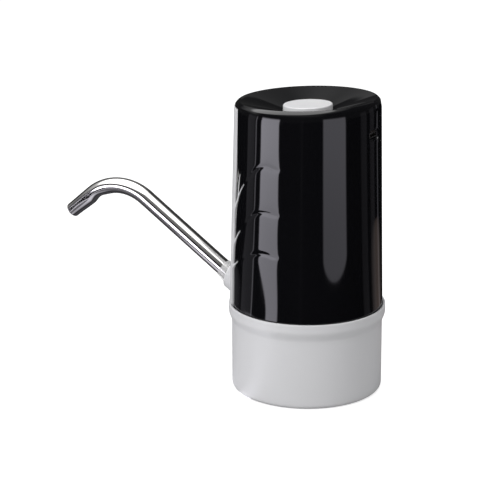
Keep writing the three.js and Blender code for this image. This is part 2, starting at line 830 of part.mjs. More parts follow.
// Rubber web with a cup over each chamber, and a stalk that the plate's arm pulls
function makeDiaphragm() {
  const webTop = diaphragmFoot + diaphragmWeb;
  const armTop = armFoot() + armThickness + gap;
  const cup = [
    [0, webTop - 0.4],
    [cupRadius, webTop - 0.4],
    [cupRadius - 0.3, webTop + 2],
    [stalkRadius, webTop + 2.8],
    [stalkRadius, armTop],
    [stalkRadius + 0.5, armTop],
    [stalkRadius - 0.2, armTop + 1.4],
    [0, armTop + 1.4],
  ];
  const hollow = [
    [0, 0],
    [cupRadius - 0.8, 0],
    [cupRadius - 1.1, webTop + 1.2],
    [0, webTop + 1.8],
  ];
  const web = solid(rod(pumpRadius, diaphragmFoot, webTop, middleSides, pumpX));
  const cups = pistonPlaces().map(([x, y]) => solid(revolve(cup, tinySides, x, y)));
  const hollows = pistonPlaces().map(([x, y]) => solid(revolve(hollow, tinySides, x, y)));
  return cut(join(web, ...cups), ...hollows, ...pumpScrewHoles(diaphragmFoot - 1, webTop + 1));
}

const armFoot = () => diaphragmFoot + diaphragmWeb + armRise;

function makeWobblePlate() {
  const low = armFoot();
  const high = low + armThickness;
  const arms = pistonPlaces().map(([x, y]) => {
    const ux = (x - pumpX) / pistonRing;
    const uy = y / pistonRing;
    const outline = [
      [x - uy * armHalf, y + ux * armHalf],
      [x + uy * armHalf, y - ux * armHalf],
      [pumpX + uy * armHalf, -ux * armHalf],
      [pumpX - uy * armHalf, ux * armHalf],
    ];
    return join(solid(upright(outline, low, high)), solid(rod(armHalf + 0.4, low, high, tinySides, x, y)));
  });
  const hub = solid(rod(armHalf + 1.2, low - 1.2, high + hubRise, smallSides, pumpX));
  const eyes = pistonPlaces().map(([x, y]) =>
    solid(rod(stalkRadius + fineGap, low - 1, high + 1, tinySides, x, y)),
  );
  // Widens with the swing of the tilted pin
  const play = (z) =>
    pinRadius / Math.cos(pinTilt) + Math.abs(z - nutationCentre) * Math.tan(pinTilt) + gap;
  const [boreLow, boreHigh] = [low - 2, high + hubRise + 1];
  const bore = [[0, boreLow], [play(boreLow), boreLow], [play(boreHigh), boreHigh], [0, boreHigh]];
  return cut(join(hub, ...arms), solid(revolve(bore, smallSides, pumpX)), ...eyes);
}

const eccentricFoot = () => armFoot() + armThickness + hubRise + 2 * gap;
const pinTop = () => eccentricFoot() + pinSeat;

function pinGeometry(radius, low, high) {
  return rod(radius, low - nutationCentre, high - nutationCentre, tinySides)
    .rotateY(pinTilt)
    .translate(pumpX, 0, nutationCentre);
}

function makeEccentric() {
  const low = eccentricFoot();
  const high = low + eccentricHeight;
  const wheel = solid(rod(eccentricRadius, low, high, smallSides, pumpX));
  const shaftBore = solid(rod(shaftRadius + fineGap, high - shaftSeat, high + 1, tinySides, pumpX));
  const pinBore = solid(pinGeometry(pinRadius + fineGap, low - 1.5, pinTop()));
  const relief = ring(shaftRadius + 1.6, eccentricRadius - 1.2, high - 1.2, high + 1, smallSides, pumpX);
  return cut(wheel, shaftBore, pinBore, solid(relief));
}

function makeCrankCase() {
  const top = crankFoot + crankCaseHeight;
  const profile = [
    [pumpRadius - crankCaseWall, crankFoot],
    [pumpRadius, crankFoot],
    [pumpRadius, top - 1],
    [pumpRadius - 1, top],
    [motorNose[0] + 2 * fineGap, top],
    [motorNose[0] + 2 * fineGap, top - 2.4],
    [pumpRadius - crankCaseWall, top - 2.4],
  ];
  const outer = solid(rod(pumpRadius, crankFoot - 1, top + 1, middleSides, pumpX));
  const lugs = pumpScrewPlaces().map(([x, y]) =>
    solid(rod(pumpLugRadius, crankFoot, crankFoot + pumpLugHeight, tinySides, x, y)).intersect(outer),
  );
  const body = join(solid(revolve(profile, middleSides, pumpX)), ...lugs);
  return cut(body, ...pumpScrewHoles(crankFoot - 1, crankFoot + pumpLugHeight - 2));
}

function makeMotorCan() {
  const profile = [
    [shaftRadius + fineGap, motorFoot - motorNose[1]],
    [motorNose[0], motorFoot - motorNose[1]],
    [motorNose[0], motorFoot],
    [motorRadius - 0.8, motorFoot],
    [motorRadius, motorFoot + 0.8],
    [motorRadius, motorTop],
    [shaftRadius + fineGap, motorTop],
  ];
  return revolve(profile, middleSides, pumpX);
}

function makeMotorEndCap() {
  const low = motorTop + gap;
  const high = low + endCapHeight;
  const outer = motorRadius - 1;
  const profile = [
    [shaftRadius + fineGap, low],
    [outer, low],
    [outer, high - 0.6],
    [outer - 0.6, high],
    [motorNose[0], high],
    [motorNose[0], high + 1.2],
    [shaftRadius + fineGap, high + 1.2],
  ];
  const terminals = [-1, 1].map((side) => {
    const x = pumpX + side * terminalX;
    return solid(block(x - 1.2, x + 1.2, -tabThickness, tabThickness, high - 1, high + terminalHeight));
  });
  return join(solid(revolve(profile, middleSides, pumpX)), ...terminals);
}

// A strap round a cylinder and back to the frame's plate
function strap(x, y, radius, low) {
  const inner = radius + gap;
  const outer = inner + strapThickness;
  const end = plateY - gap;
  const outline = [
    [x - outer, end],
    ...arc(x, y, outer, 180, 360, 12),
    [x + outer, end],
    [x + inner, end],
    ...arc(x, y, inner, 360, 180, 12),
    [x - inner, end],
  ];
  return upright(outline, low, low + strapWidth);
}

function makeChassis() {
  const low = deckTop + gap;
  const far = plateY + plateThickness;
  const plate = solid(block(-plateHalfWidth, plateHalfWidth, plateY, far, low, plateTop));
  const feet = chassisScrews().flatMap(([x, y]) => [
    solid(rod(footRadius, low, low + ribThickness, smallSides, x, y)),
    solid(block(x - footRadius, x + footRadius, plateY, y, low, low + ribThickness)),
  ]);
  const rib = (from, to, near, z) => solid(block(from, to, near, plateY + 1, z, z + ribThickness));
  const saddleEnd = cellX - cellRadius - 2.4;
  const saddles = [motorFoot + ribInset, motorTop - ribInset - ribThickness].map((z) =>
    rib(pumpX - motorSaddle - 1.1, saddleEnd, 2, z),
  );
  const cradleStart = saddleEnd + 3;
  const cradleEnd = cellX + cellRadius - 0.4;
  const cradles = [cellFoot + cradleInset, cellFoot + cellLength - cradleInset - ribThickness].map((z) =>
    rib(cradleStart, cradleEnd, cellY + 1, z),
  );
  const shelfTop = cellFoot - tabThickness - 2 * gap;
  const shelf = rib(cradleStart, cradleEnd, cellY - 5, shelfTop - ribThickness);
  const stiffeners = [-stiffenerX, stiffenerX].map((x) =>
    solid(block(x - 1, x + 1, far - 0.5, far + stiffenerDepth, low, plateTop - 2 * stiffenerDepth)),
  );
  const windows = [low + 12, plateTop - 12].map((z, i) =>
    solid(block(-windowHalf, windowHalf, plateY - 1, far + 1, z, z + windowHeights[i])),
  );
  return cut(
    join(plate, ...feet, ...saddles, ...cradles, shelf, ...stiffeners),
    ...windows,
    solid(rod(motorSaddle, motorFoot - 30, motorTop + 8, middleSides, pumpX)),
    solid(rod(cellRadius + gap, cellFoot - tabThickness - gap, plateTop + 1, middleSides, cellX, cellY)),
    ...chassisScrews().map(([x, y]) => solid(rod(screwShank + 2 * fineGap, 0, plateTop, tinySides, x, y))),
  );
}

function makeBoard() {
  const low = boardTop - boardThickness;
  const disc = solid(rod(boardRadius, low, boardTop, middleSides));
  const tongueHalf = portWidth / 2 + 3;
  const tongueEnd = shellRadiusAt(portHeight) - shellWall - 1;
  const tongue = solid(block(0, tongueEnd, -tongueHalf, tongueHalf, low, boardTop));
  const fitted = chips.map(([x, y, width, depth, height]) =>
    solid(block(x - width, x + width, y - depth, y + depth, boardTop - 0.5, boardTop + height)),
  );
  const holes = boardPosts().map(([x, y]) =>
    solid(rod(screwShank + fineGap, low - 1, boardTop + 1, tinySides, x, y)),
  );
  return cut(join(disc, tongue, ...fitted), ...holes);
}

function makePortSocket() {
  const front = shellRadiusAt(portHeight) - portSeatDepth - socketWall;
  const back = front - socketDepth;
  const halfWidth = portWidth / 2 - 2 * fineGap;
  const halfHeight = portOpening / 2 - 2 * fineGap;
  const box = (inset, from, to) =>
    solid(block(from, to, inset - halfWidth, halfWidth - inset, portHeight + inset - halfHeight,
      portHeight + halfHeight - inset));
  const tongue = solid(block(back + socketWall, front - 2 * socketWall, -halfWidth * 0.6, halfWidth * 0.6,
    portHeight + 0.1, portHeight + 0.1 + socketWall));
  return join(box(0, back, front).subtract(box(socketWall, back + 2 * socketWall, front + 1)), tongue);
}

// Pan-head screw along +Z from the underside of its head, with its drive recess
function makeScrew(length, shank = screwShank, head = screwHead, headHeight = screwHeadHeight) {
  return revolve(
    [
      [0, -headHeight * 0.5],
      [head * 0.5, -headHeight],
      [head, -headHeight * 0.4],
      [head, 0],
      [shank, 0],
      [shank, length - 1],
      [0, length],
    ],
    tinySides,
  );
}

// Hoses pushed on two nipples, and leads with a round section

const hoseBore = nippleRadius + fineGap;
const hose = (from, to) => ring(hoseBore, hoseBore + hoseWall, from, to, smallSides);

function makeLead(points) {
  const path = new THREE.CatmullRomCurve3(points.map((p) => new THREE.Vector3(...p)));
  return tube(path, leadRadius, tinySides, 8);
}

// Neck fittings under the deck

function makeNeckGrip() {
  const outer = baseRadius - baseWall - gap;
  const low = footLipHeight + gap;
  const wall = outer - gripWall;
  const tip = neckRadius + 0.4;
  const pitch = (gripHeight - gripFin) / (gripFins - 1);
  const fins = Array.from({ length: gripFins }, (_, i) => {
    const z = low + i * pitch;
    const above = i < gripFins - 1 ? [[wall, z + gripFin]] : [];
    const below = i > 0 ? [[wall, z]] : [];
    return [...below, [tip + 0.5, z], [tip, z + gripFin / 2], [tip + 0.5, z + gripFin], ...above];
  }).flat();
  const profile = [...fins, [outer, low + gripHeight], [outer, low]];
  return revolve(profile, largeSides - 6);
}

function makeSuctionFitting() {
  const barbBore = 1.5;
  const barbNeck = barbRadius - 0.7;
  const barbLength = 3;
  const stem = deckUnder - nutHeight - barbLength;
  const end = stem - 4 * barbLength;
  return revolve(
    [
      [barbBore, end],
      [barbNeck, end],
      [barbRadius, end + barbLength],
      [barbNeck, end + barbLength + 0.3],
      [barbNeck, end + 2 * barbLength],
      [barbRadius, end + 3 * barbLength - 0.3],
      [barbNeck, end + 3 * barbLength],
      [barbNeck, stem],
      [fittingRadius, stem],
      [fittingRadius, deckTop + gap],
      [fittingRadius + flangeWidth, deckTop + gap],
      [fittingRadius + flangeWidth, deckTop + gap + flangeThickness],
      [nippleRadius, deckTop + gap + flangeThickness],
      [nippleRadius, coverFoot - inletLength - 2 * gap],
      [barbBore, coverFoot - inletLength - 2 * gap],
    ],
    smallSides, pumpX,
  );
}

function makeFittingNut() {
  const hex = Array.from({ length: 6 }, (_, i) => {
    const a = (i * Math.PI) / 3;
    return [pumpX + (nutAcross / 2) * Math.cos(a), (nutAcross / 2) * Math.sin(a)];
  });
  const high = deckUnder - gap;
  const bore = solid(rod(fittingRadius + fineGap, 0, deckTop, smallSides, pumpX));
  return cut(solid(upright(hex, high - nutHeight, high)), bore);
}

// Assembly

const pump = new THREE.Group();

function add(name, shape, material, parent = pump) {
  const geometry = shape.isBufferGeometry ? shape : geometryOf(shape);
  const mesh = new THREE.Mesh(geometry, material);
  mesh.name = name;
  parent.add(mesh);
  return mesh;
}

add("base_housing", makeBase(), whitePlastic);
add("front_panel", makePanel(), whitePlastic);
add("outer_shell", makeShell(), blackGloss);
add("power_button", makeButton(), whitePlastic);

const spout = new THREE.Group();
toSpout.decompose(spout.position, spout.quaternion, spout.scale);
pump.add(spout);
add("spout_tube", makeSpoutTube(), steel, spout);
add("spout_seal", makeSpoutSeal(), silicone, spout);

add("circuit_board", makeBoard(), boardGreen);
const switchLow = boardTop + gap;
const halfSwitch = switchSide / 2;
add(
  "tact_switch_body",
  cut(
    solid(block(-halfSwitch, halfSwitch, -halfSwitch, halfSwitch, switchLow, switchLow + switchHeight)),
    solid(rod(plungerRadius + fineGap, switchLow + 1, switchLow + switchHeight + 1, smallSides)),
  ),
  blackWire,
);
add(
  "tact_switch_plunger",
  rod(plungerRadius, switchLow + 1 + buttonTravel + gap, plungerTop, smallSides),
  nylon,
);
add("micro_usb_socket", makePortSocket(), nickel);
add(
  "status_led",
  revolve(
    [
      [0, boardTop + gap],
      [ledRadius + 0.4, boardTop + gap],
      [ledRadius + 0.4, boardTop + 1.2],
      [ledRadius, boardTop + 1.2],
      ...arc(0, boardTop + 2 * ledRadius, ledRadius, 0, 90, 2),
    ],
    tinySides,
    ...ledPlace,
  ),
  silicone,
);
boardPosts().forEach(([x, y], i) => {
  const shape = makeScrew(boardScrewLength, screwShank - fineGap, 2.2, 1.3);
  const screw = add(`board_screw_${i + 1}`, shape, zincPlate);
  screw.position.set(x, y, boardTop - boardThickness - gap);
});

const tabEnd = cellX + cellRadius + 2.4;
add("battery_cell", rod(cellRadius, cellFoot, cellFoot + cellLength, middleSides, cellX, cellY), cellWrap);
const topTabFoot = cellFoot + cellLength + gap;
add(
  "battery_tab_top",
  block(cellX - 6, cellX + 4, cellY - 3, cellY + 3, topTabFoot, topTabFoot + tabThickness),
  nickel,
);
add(
  "battery_tab_bottom",
  block(cellX - 4, tabEnd, cellY - 2, cellY + 2, cellFoot - gap - tabThickness, cellFoot - gap),
  nickel,
);
add("battery_strap", strap(cellX, cellY, cellRadius, cellFoot + cellStrapRise), zincPlate);

add("chassis", makeChassis(), nylon);
chassisScrews().forEach(([x, y], i) => {
  const screw = add(`chassis_screw_${i + 1}`, makeScrew(chassisScrewLength), zincPlate);
  screw.rotation.x = Math.PI;
  screw.position.set(x, y, deckTop + 2 * gap + ribThickness);
});
shellScrewAngles.forEach((angle, i) => {
  const turned = new THREE.Group();
  turned.rotation.z = THREE.MathUtils.degToRad(angle);
  pump.add(turned);
  const screw = add(`shell_screw_${i + 1}`, makeScrew(shellScrewLength), zincPlate, turned);
  screw.position.set(shellScrewRing, 0, deckUnder - gap);
});

add("motor_can", makeMotorCan(), zincPlate);
add("motor_end_cap", makeMotorEndCap(), nylon);
add(
  "motor_sleeve",
  ring(sleeveBore, sleeveOutside, motorFoot + 3, motorTop - 3, middleSides, pumpX),
  greyRubber,
);
add("motor_strap", strap(pumpX, 0, sleeveOutside, motorFoot + motorStrapRise), zincPlate);
const shaftFoot = eccentricFoot() + eccentricHeight - shaftSeat + fineGap;
add("motor_shaft", rod(shaftRadius, shaftFoot, motorTop + 5, tinySides, pumpX), steel);
add("eccentric", makeEccentric(), nylon);
add("crank_pin", pinGeometry(pinRadius, armFoot() - 1, pinTop() - fineGap), steel);
add("wobble_plate", makeWobblePlate(), nylon);
add("diaphragm", makeDiaphragm(), greyRubber);
add("valve_plate", makeValvePlate(), nylon);
add("crank_case", makeCrankCase(), whitePlastic);
add("pump_cover", makePumpCover(), whitePlastic);
pumpScrewPlaces().forEach(([x, y], i) => {
  const screw = add(`pump_screw_${i + 1}`, makeScrew(pumpScrewLength, 1, 1.9, 1.2), zincPlate);
  screw.position.set(x, y, coverFoot - gap);
});

const hoseStart = -shellSeatRadius + shellWall + panelLapWall + 2 * gap + 0.7;
add(
  "outlet_hose",
  hose(hoseStart, pumpX - pumpRadius - gap).rotateY(Math.PI / 2).translate(0, 0, nippleHeight),
  silicone,
);
const inletHose = hose(deckTop + flangeThickness + 2 * gap, coverFoot - gap);
add("inlet_hose", inletHose.translate(pumpX, 0, 0), silicone);
add("suction_fitting", makeSuctionFitting(), whitePlastic);
add("fitting_nut", makeFittingNut(), whitePlastic);
add(
  "neck_gasket",
  ring(neckRadius - 0.5 - gasketWidth, neckRadius - 0.5, deckUnder - gap - gasketThickness, deckUnder - gap),
  greyRubber,
);
add("neck_grip", makeNeckGrip(), greyRubber);

const boardUnder = boardTop - boardThickness - gap;
const bladeTop = motorTop + gap + endCapHeight + terminalHeight + gap;
const cellTop = topTabFoot + tabThickness + gap;
const leadKnee = (bladeTop + boardUnder) / 2;
const motorLead = (side) =>
  makeLead([
    [pumpX + side * terminalX, 0, bladeTop],
    [pumpX + side * (terminalX + 0.5), -1, leadKnee - 3.5],
    [pumpX + side * (terminalX - 1), -4, leadKnee + 3.5],
    [pumpX + side * (terminalX - 2), -4.5, boardUnder],
  ]);
add("motor_lead_red", motorLead(-1), redWire);
add("motor_lead_black", motorLead(1), blackWire);
const redLead = [
  [cellX - 3, cellY, cellTop],
  [cellX - 3, cellY, cellTop + 6],
  [cellX - 5, cellY - 1, boardUnder - 7],
  [cellX - 6, cellY - 2, boardUnder],
];
add("battery_lead_red", makeLead(redLead), redWire);
const blackLead = [
  [tabEnd - 1, cellY, cellFoot],
  [tabEnd - 0.8, cellY + 2, cellFoot + 7],
  [tabEnd, cellY + 5.4, cellFoot + 20],
  [tabEnd, cellY + 5.4, cellTop - 20.9],
  [tabEnd - 1.2, cellY + 5, cellTop + 4.1],
  [cellX + 6, cellY + 2, boardUnder - 5.8],
  [cellX + 3, cellY + 1, boardUnder],
];
add("battery_lead_black", makeLead(blackLead), blackWire);

export default pump;
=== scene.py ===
import bmesh
import bpy
import json
import numpy as np
from math import atan2, ceil, cos, degrees, hypot, pi, radians, sin, tan
from mathutils import Matrix, Vector
from mathutils.geometry import delaunay_2d_cdt
from mathutils.kdtree import KDTree


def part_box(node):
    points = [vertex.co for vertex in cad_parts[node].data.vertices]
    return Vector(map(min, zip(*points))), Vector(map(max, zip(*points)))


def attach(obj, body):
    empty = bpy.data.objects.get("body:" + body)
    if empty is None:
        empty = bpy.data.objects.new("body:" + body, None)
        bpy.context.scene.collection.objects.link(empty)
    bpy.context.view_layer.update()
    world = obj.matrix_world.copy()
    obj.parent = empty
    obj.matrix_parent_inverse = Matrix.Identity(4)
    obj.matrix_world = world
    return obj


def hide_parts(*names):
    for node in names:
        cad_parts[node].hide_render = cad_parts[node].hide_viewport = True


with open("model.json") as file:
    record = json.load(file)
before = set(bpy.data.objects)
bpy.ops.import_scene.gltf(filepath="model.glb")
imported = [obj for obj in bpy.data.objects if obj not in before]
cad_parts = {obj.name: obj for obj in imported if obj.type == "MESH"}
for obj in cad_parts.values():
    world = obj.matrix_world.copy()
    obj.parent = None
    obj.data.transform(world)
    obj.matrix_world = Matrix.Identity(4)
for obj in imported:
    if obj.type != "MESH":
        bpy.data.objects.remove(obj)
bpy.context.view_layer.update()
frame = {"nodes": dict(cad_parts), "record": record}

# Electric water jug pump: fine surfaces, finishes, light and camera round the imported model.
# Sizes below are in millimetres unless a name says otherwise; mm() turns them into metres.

scene = bpy.context.scene


def mm(value):
    return value * 0.001


def cadBox(node):
    low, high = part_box(node)
    return low * 1000, high * 1000


# Camera, as the photograph was taken: a long lens, a little above the pump

cameraSet = {
    "place": (0.3748, -0.7141, 0.3091),  # metres
    "turn": 30.0,  # degrees about the pump's axis, from looking along +Y
    "down": 16.24,
    "roll": 0.36,
    "focal": 129.16,
    "sensor": 36.0,
    "shift": (-0.00125, 0.0),
    "nearest": 0.05,
}


def makeCamera():
    data = bpy.data.cameras.new("camera")
    data.lens = cameraSet["focal"]
    data.sensor_width = cameraSet["sensor"]
    data.shift_x, data.shift_y = cameraSet["shift"]
    data.clip_start = cameraSet["nearest"]
    camera = bpy.data.objects.new("camera", data)
    scene.collection.objects.link(camera)
    turn, down, roll = (radians(cameraSet[k]) for k in ("turn", "down", "roll"))
    ahead = Vector((-sin(turn) * cos(down), cos(turn) * cos(down), -sin(down)))
    right = Vector((cos(turn), sin(turn), 0))
    up = right.cross(ahead)
    right, up = cos(roll) * right - sin(roll) * up, sin(roll) * right + cos(roll) * up
    camera.matrix_world = Matrix((right, up, -ahead)).transposed().to_4x4()
    camera.location = cameraSet["place"]
    scene.camera = camera


makeCamera()
print("camera set")


# Mesh helpers

def meshObject(name, points, faces):
    mesh = bpy.data.meshes.new(name)
    mesh.from_pydata([[mm(c) for c in p] for p in points], [], faces)
    mesh.validate()
    piece = bpy.data.objects.new(name, mesh)
    scene.collection.objects.link(piece)
    return piece


def shadeSmooth(piece, sharpAt=38.0):
    piece.data.shade_smooth()
    piece.data.set_sharp_from_angle(angle=radians(sharpAt))
    return piece


def cleanMesh(piece, sharpAt=38.0):
    samePlace = 0.0004
    work = bmesh.new()
    work.from_mesh(piece.data)
    bmesh.ops.remove_doubles(work, verts=work.verts, dist=mm(samePlace))
    bmesh.ops.recalc_face_normals(work, faces=work.faces)
    work.to_mesh(piece.data)
    work.free()
    return shadeSmooth(piece, sharpAt)


def arcPoints(cx, cy, radius, start, end, steps):
    turns = [radians(start + (end - start) * i / steps) for i in range(steps + 1)]
    return [(cx + radius * cos(a), cy + radius * sin(a)) for a in turns]


def smoothLine(marks, steps):
    # a curve through the marks, each a row of numbers
    rows = [np.array(m, float) for m in marks]
    rows = [2 * rows[0] - rows[1]] + rows + [2 * rows[-1] - rows[-2]]
    line = []
    for a, b, c, d in zip(rows, rows[1:], rows[2:], rows[3:]):
        for k in range(steps):
            t = k / steps
            line.append(b + 0.5 * t * (c - a + t * (2 * a - 5 * b + 4 * c - d + t * (3 * (b - c) + d - a))))
    return [tuple(p) for p in line + [rows[-2]]]


def lathe(name, profile, sides=160, place=None):
    points, faces, rows = [], [], []
    for r, z in profile:
        if r < 1e-6:
            rows.append([len(points)])
            points.append((0, 0, z))
            continue
        rows.append(list(range(len(points), len(points) + sides)))
        for j in range(sides):
            a = 2 * pi * j / sides
            points.append((r * cos(a), r * sin(a), z))
    pairs = list(zip(rows, rows[1:]))
    if profile[0][0] > 1e-6:
        pairs.append((rows[-1], rows[0]))
    for low, high in pairs:
        for j in range(sides):
            k = (j + 1) % sides
            ring = [low[j % len(low)], low[k % len(low)], high[k % len(high)], high[j % len(high)]]
            face = list(dict.fromkeys(ring))
            if len(face) > 2:
                faces.append(face)
    if place:
        points = [place(p) for p in points]
    return cleanMesh(meshObject(name, points, faces))


def gridFaces(rows, count, around=False, closed=False):
    # faces of a grid of points; around joins each row's ends, closed joins the last row to the first
    faces = []
    for i in range(rows if closed else rows - 1):
        for j in range(count if around else count - 1):
            k, n = (j + 1) % count, (i + 1) % rows
            faces.append((i * count + j, i * count + k, n * count + k, n * count + j))
    return faces


def upright(name, profile, x, y):
    return lathe(name, profile, 32, lambda p: (p[0] + x, p[1] + y, p[2]))


def ringPlaces(radius, angles):
    return [(radius * cos(radians(a)), radius * sin(radians(a))) for a in angles]


def bake(piece):
    baked = bpy.data.meshes.new_from_object(piece.evaluated_get(bpy.context.evaluated_depsgraph_get()))
    piece.modifiers.clear()
    piece.data = baked
    return piece


def combine(piece, others, operation="DIFFERENCE"):
    for other in others:
        step = piece.modifiers.new("step", "BOOLEAN")
        step.operation = operation
        step.solver = "EXACT"
        step.object = other
    bake(piece)
    for other in others:
        bpy.data.objects.remove(other)
    return piece


def gather(piece, others):
    # puts separate closed parts into one object
    work = bmesh.new()
    for part in [piece, *others]:
        work.from_mesh(part.data)
    work.to_mesh(piece.data)
    work.free()
    for other in others:
        bpy.data.objects.remove(other)
    return piece


# A region of the body's wall: flat outlines in (arc along the wall, height), filled with points, wrapped
# round the body, given a thickness and a small round along its cut edges

def insideLoops(points, loops):
    found = np.zeros(len(points), bool)
    for loop in loops:
        a, b = np.array(loop), np.roll(np.array(loop), -1, axis=0)
        for i in range(0, len(points), 2000):
            p = points[i:i + 2000]
            spans = (a[:, 1] > p[:, 1:]) != (b[:, 1] > p[:, 1:])
            with np.errstate(divide="ignore", invalid="ignore"):
                at = a[:, 0] + (p[:, 1:] - a[:, 1]) * (b[:, 0] - a[:, 0]) / (b[:, 1] - a[:, 1])
            found[i:i + 2000] ^= (np.sum(spans & (p[:, :1] < at), axis=1) % 2).astype(bool)
    return found


def makeTree(points):
    tree = KDTree(len(points))
    for i, (x, y) in enumerate(points.tolist()):
        tree.insert((x, y, 0), i)
    tree.balance()
    return tree


def lineDistance(points, lines, along=None):
    # distance to the nearest line, and the value of "along" there where each line's points carry one
    marks = np.concatenate([np.array(line, float) for line in lines])
    ends = np.cumsum([len(line) for line in lines])
    before, after = np.arange(len(marks)) - 1, np.arange(len(marks)) + 1
    before[[0, *ends[:-1]]] += 1
    after[ends - 1] -= 1
    tree = makeTree(marks)
    points = np.asarray(points, float)
    near = np.array([tree.find((x, y, 0))[1] for x, y in points.tolist()], int)
    reach, value = np.full(len(points), 1e9), np.zeros(len(points))
    worth = None if along is None else np.concatenate([np.array(row, float) for row in along])
    for other in (before[near], after[near]):
        way = marks[other] - marks[near]
        length = np.maximum((way ** 2).sum(1), 1e-12)
        t = np.clip(((points - marks[near]) * way).sum(1) / length, 0, 1)
        away = np.hypot(*(points - marks[near] - t[:, None] * way).T)
        closer = away < reach
        reach[closer] = away[closer]
        if worth is not None:
            value[closer] = (worth[near] + (worth[other] - worth[near]) * t)[closer]
    return reach if along is None else (reach, value)


def between(a, b, k, count):
    # the point that is k of count steps on the way from a to b
    return a[0] + (b[0] - a[0]) * k / count, a[1] + (b[1] - a[1]) * k / count


def evenly(line, step):
    points = [line[0]]
    for a, b in zip(line, line[1:]):
        count = max(1, ceil(hypot(b[0] - a[0], b[1] - a[1]) / step))
        points += [between(a, b, k, count) for k in range(1, count + 1)]
    return points


def beside(line, depth):
    # the same line moved sideways, to its left where depth is above zero
    line = np.array(line)
    way = np.gradient(line, axis=0)
    way /= np.maximum(np.hypot(way[:, :1], way[:, 1:]), 1e-9)
    return [tuple(p) for p in line + depth * np.stack([-way[:, 1], way[:, 0]], 1)]


def edgeRows(line, side, loop):
    # points close beside a cut edge, on its left where side is 1 and on its right where it is -1
    rows = np.array([(*p, depth) for depth in body["edgeRows"] for p in beside(line, side * depth)])
    clear = lineDistance(rows[:, :2], [line])
    nearly = 0.93  # points that folded back over the line come closer than this share of their depth
    return rows[(clear > rows[:, 2] * nearly) & insideLoops(rows[:, :2], [loop]), :2]


def fillRegion(loops, seeds, rows, spacing):
    seeds = np.array(seeds)
    outline = [list(loop) + [loop[0]] for loop in loops]
    keep = insideLoops(seeds, loops) & (lineDistance(seeds, outline) > spacing)
    loose = [tuple(p) for p in rows] + [tuple(p) for p in seeds[keep]]
    points, edges = [], []
    for loop in loops:
        start = len(points)
        points += [tuple(p) for p in loop]
        edges += [(start + i, start + (i + 1) % len(loop)) for i in range(len(loop))]
    vertices, _, triangles, _, _, _ = delaunay_2d_cdt(
        [Vector(p) for p in points + loose], edges, [], 0, 1e-7, False)
    flat, corners = np.array([tuple(v) for v in vertices]), np.array(triangles)
    return flat, corners[insideLoops(flat[corners].mean(1), loops)]


def level(lift):
    # the same lift everywhere
    return lambda flat: np.full(len(flat), lift)


def thickWall(name, loops, seeds, rows, outerLift, innerLift, openPoints=(), more=([], [])):
    # loops are the outlines; an edge between two open points gets no side wall
    spacing, coarser = body["meshStep"], 3  # the inner side is smooth and can do with fewer points
    sides = [fillRegion(loops, seeds, rows, spacing),
             fillRegion(loops, seeds[::coarser], [], coarser * spacing)]
    points = []
    for (flat, _), lift in zip(sides, (outerLift, innerLift)):
        points += [tuple(p) for p in onBody(flat, lift(flat))]
    shift = len(sides[0][0])
    faces = [tuple(f) for f in sides[0][1].tolist()]
    faces += [(a + shift, c + shift, b + shift) for a, b, c in sides[1][1].tolist()]
    trees = [makeTree(flat) for flat, _ in sides]
    find = lambda side, p: trees[side].find((p[0], p[1], 0))[1] + side * shift
    rounded = lambda p: (round(p[0], 4), round(p[1], 4))
    openAt = {rounded(p) for p in openPoints}
    for loop in loops:
        for p, q in zip(loop, loop[1:] + loop[:1]):
            if not {rounded(p), rounded(q)} <= openAt:
                faces.append((find(0, p), find(0, q), find(1, q), find(1, p)))
    extraPoints, extraFaces = more
    start = len(points)
    faces += [tuple(i + start for i in f) for f in extraFaces]
    return cleanMesh(meshObject(name, points + extraPoints, faces))


# Outer surfaces of the body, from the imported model's boxes

shellBox, baseBox = cadBox("outer_shell"), cadBox("base_housing")
body = {
    "flangeTop": baseBox[1][2],
    "shellFoot": baseBox[1][2] - 3.4,
    "seatRadius": shellBox[1][1],
    "topRadius": -shellBox[0][0],
    "rimStart": 141.0,
    "rimRound": 4.0,
    "rimTurn": 60,  # degrees of the rim's round before its edge
    "rimEdge": 0.6,
    "rimJoin": 30,  # degrees up the rim's round, where the wall's mesh ends
    "wall": 2.0,
    "gap": 0.3,
    "slope": tan(radians(1.8)),  # of the top, down towards the spout
    "slopeFrom": (112.0, 136.0),  # heights between which the slope sets in
    "dishFloor": 138.6,
    "ceiling": 137.2,  # under the dish, at the button's hole
    "buttonHole": 12.15,
    "holeEase": 0.45,  # how far out from the hole the dish's cone ends
    "holeLip": [(0.2, 0.02), (0.06, 0.16), (0, 0.36)],  # out from the hole, down from the dish
    "edgeRound": 0.25,
    "outlineStep": 0.6,
    "edgeRows": (0.05, 0.13, 0.3),  # depths of the rows of points beside a cut edge
    "edgeClear": 0.6,  # the other points keep this far from it
    "meshStep": 0.35,  # and this far from any outline
}
body["arc"] = (body["seatRadius"] + body["topRadius"]) / 2  # radius at which arcs along the wall are measured
body["dishMouth"] = body["topRadius"] - body["rimRound"]


def smoothStep(x):
    x = np.clip(x, 0, 1)
    return x * x * (3 - 2 * x)


def wallRadius(z):
    share = np.clip((z - body["flangeTop"]) / (body["rimStart"] - body["flangeTop"]), 0, 1)
    return body["seatRadius"] + (body["topRadius"] - body["seatRadius"]) * share


def sloped(points):
    low, high = body["slopeFrom"]
    points[:, 2] += points[:, 0] * body["slope"] * smoothStep((points[:, 2] - low) / (high - low))
    return points


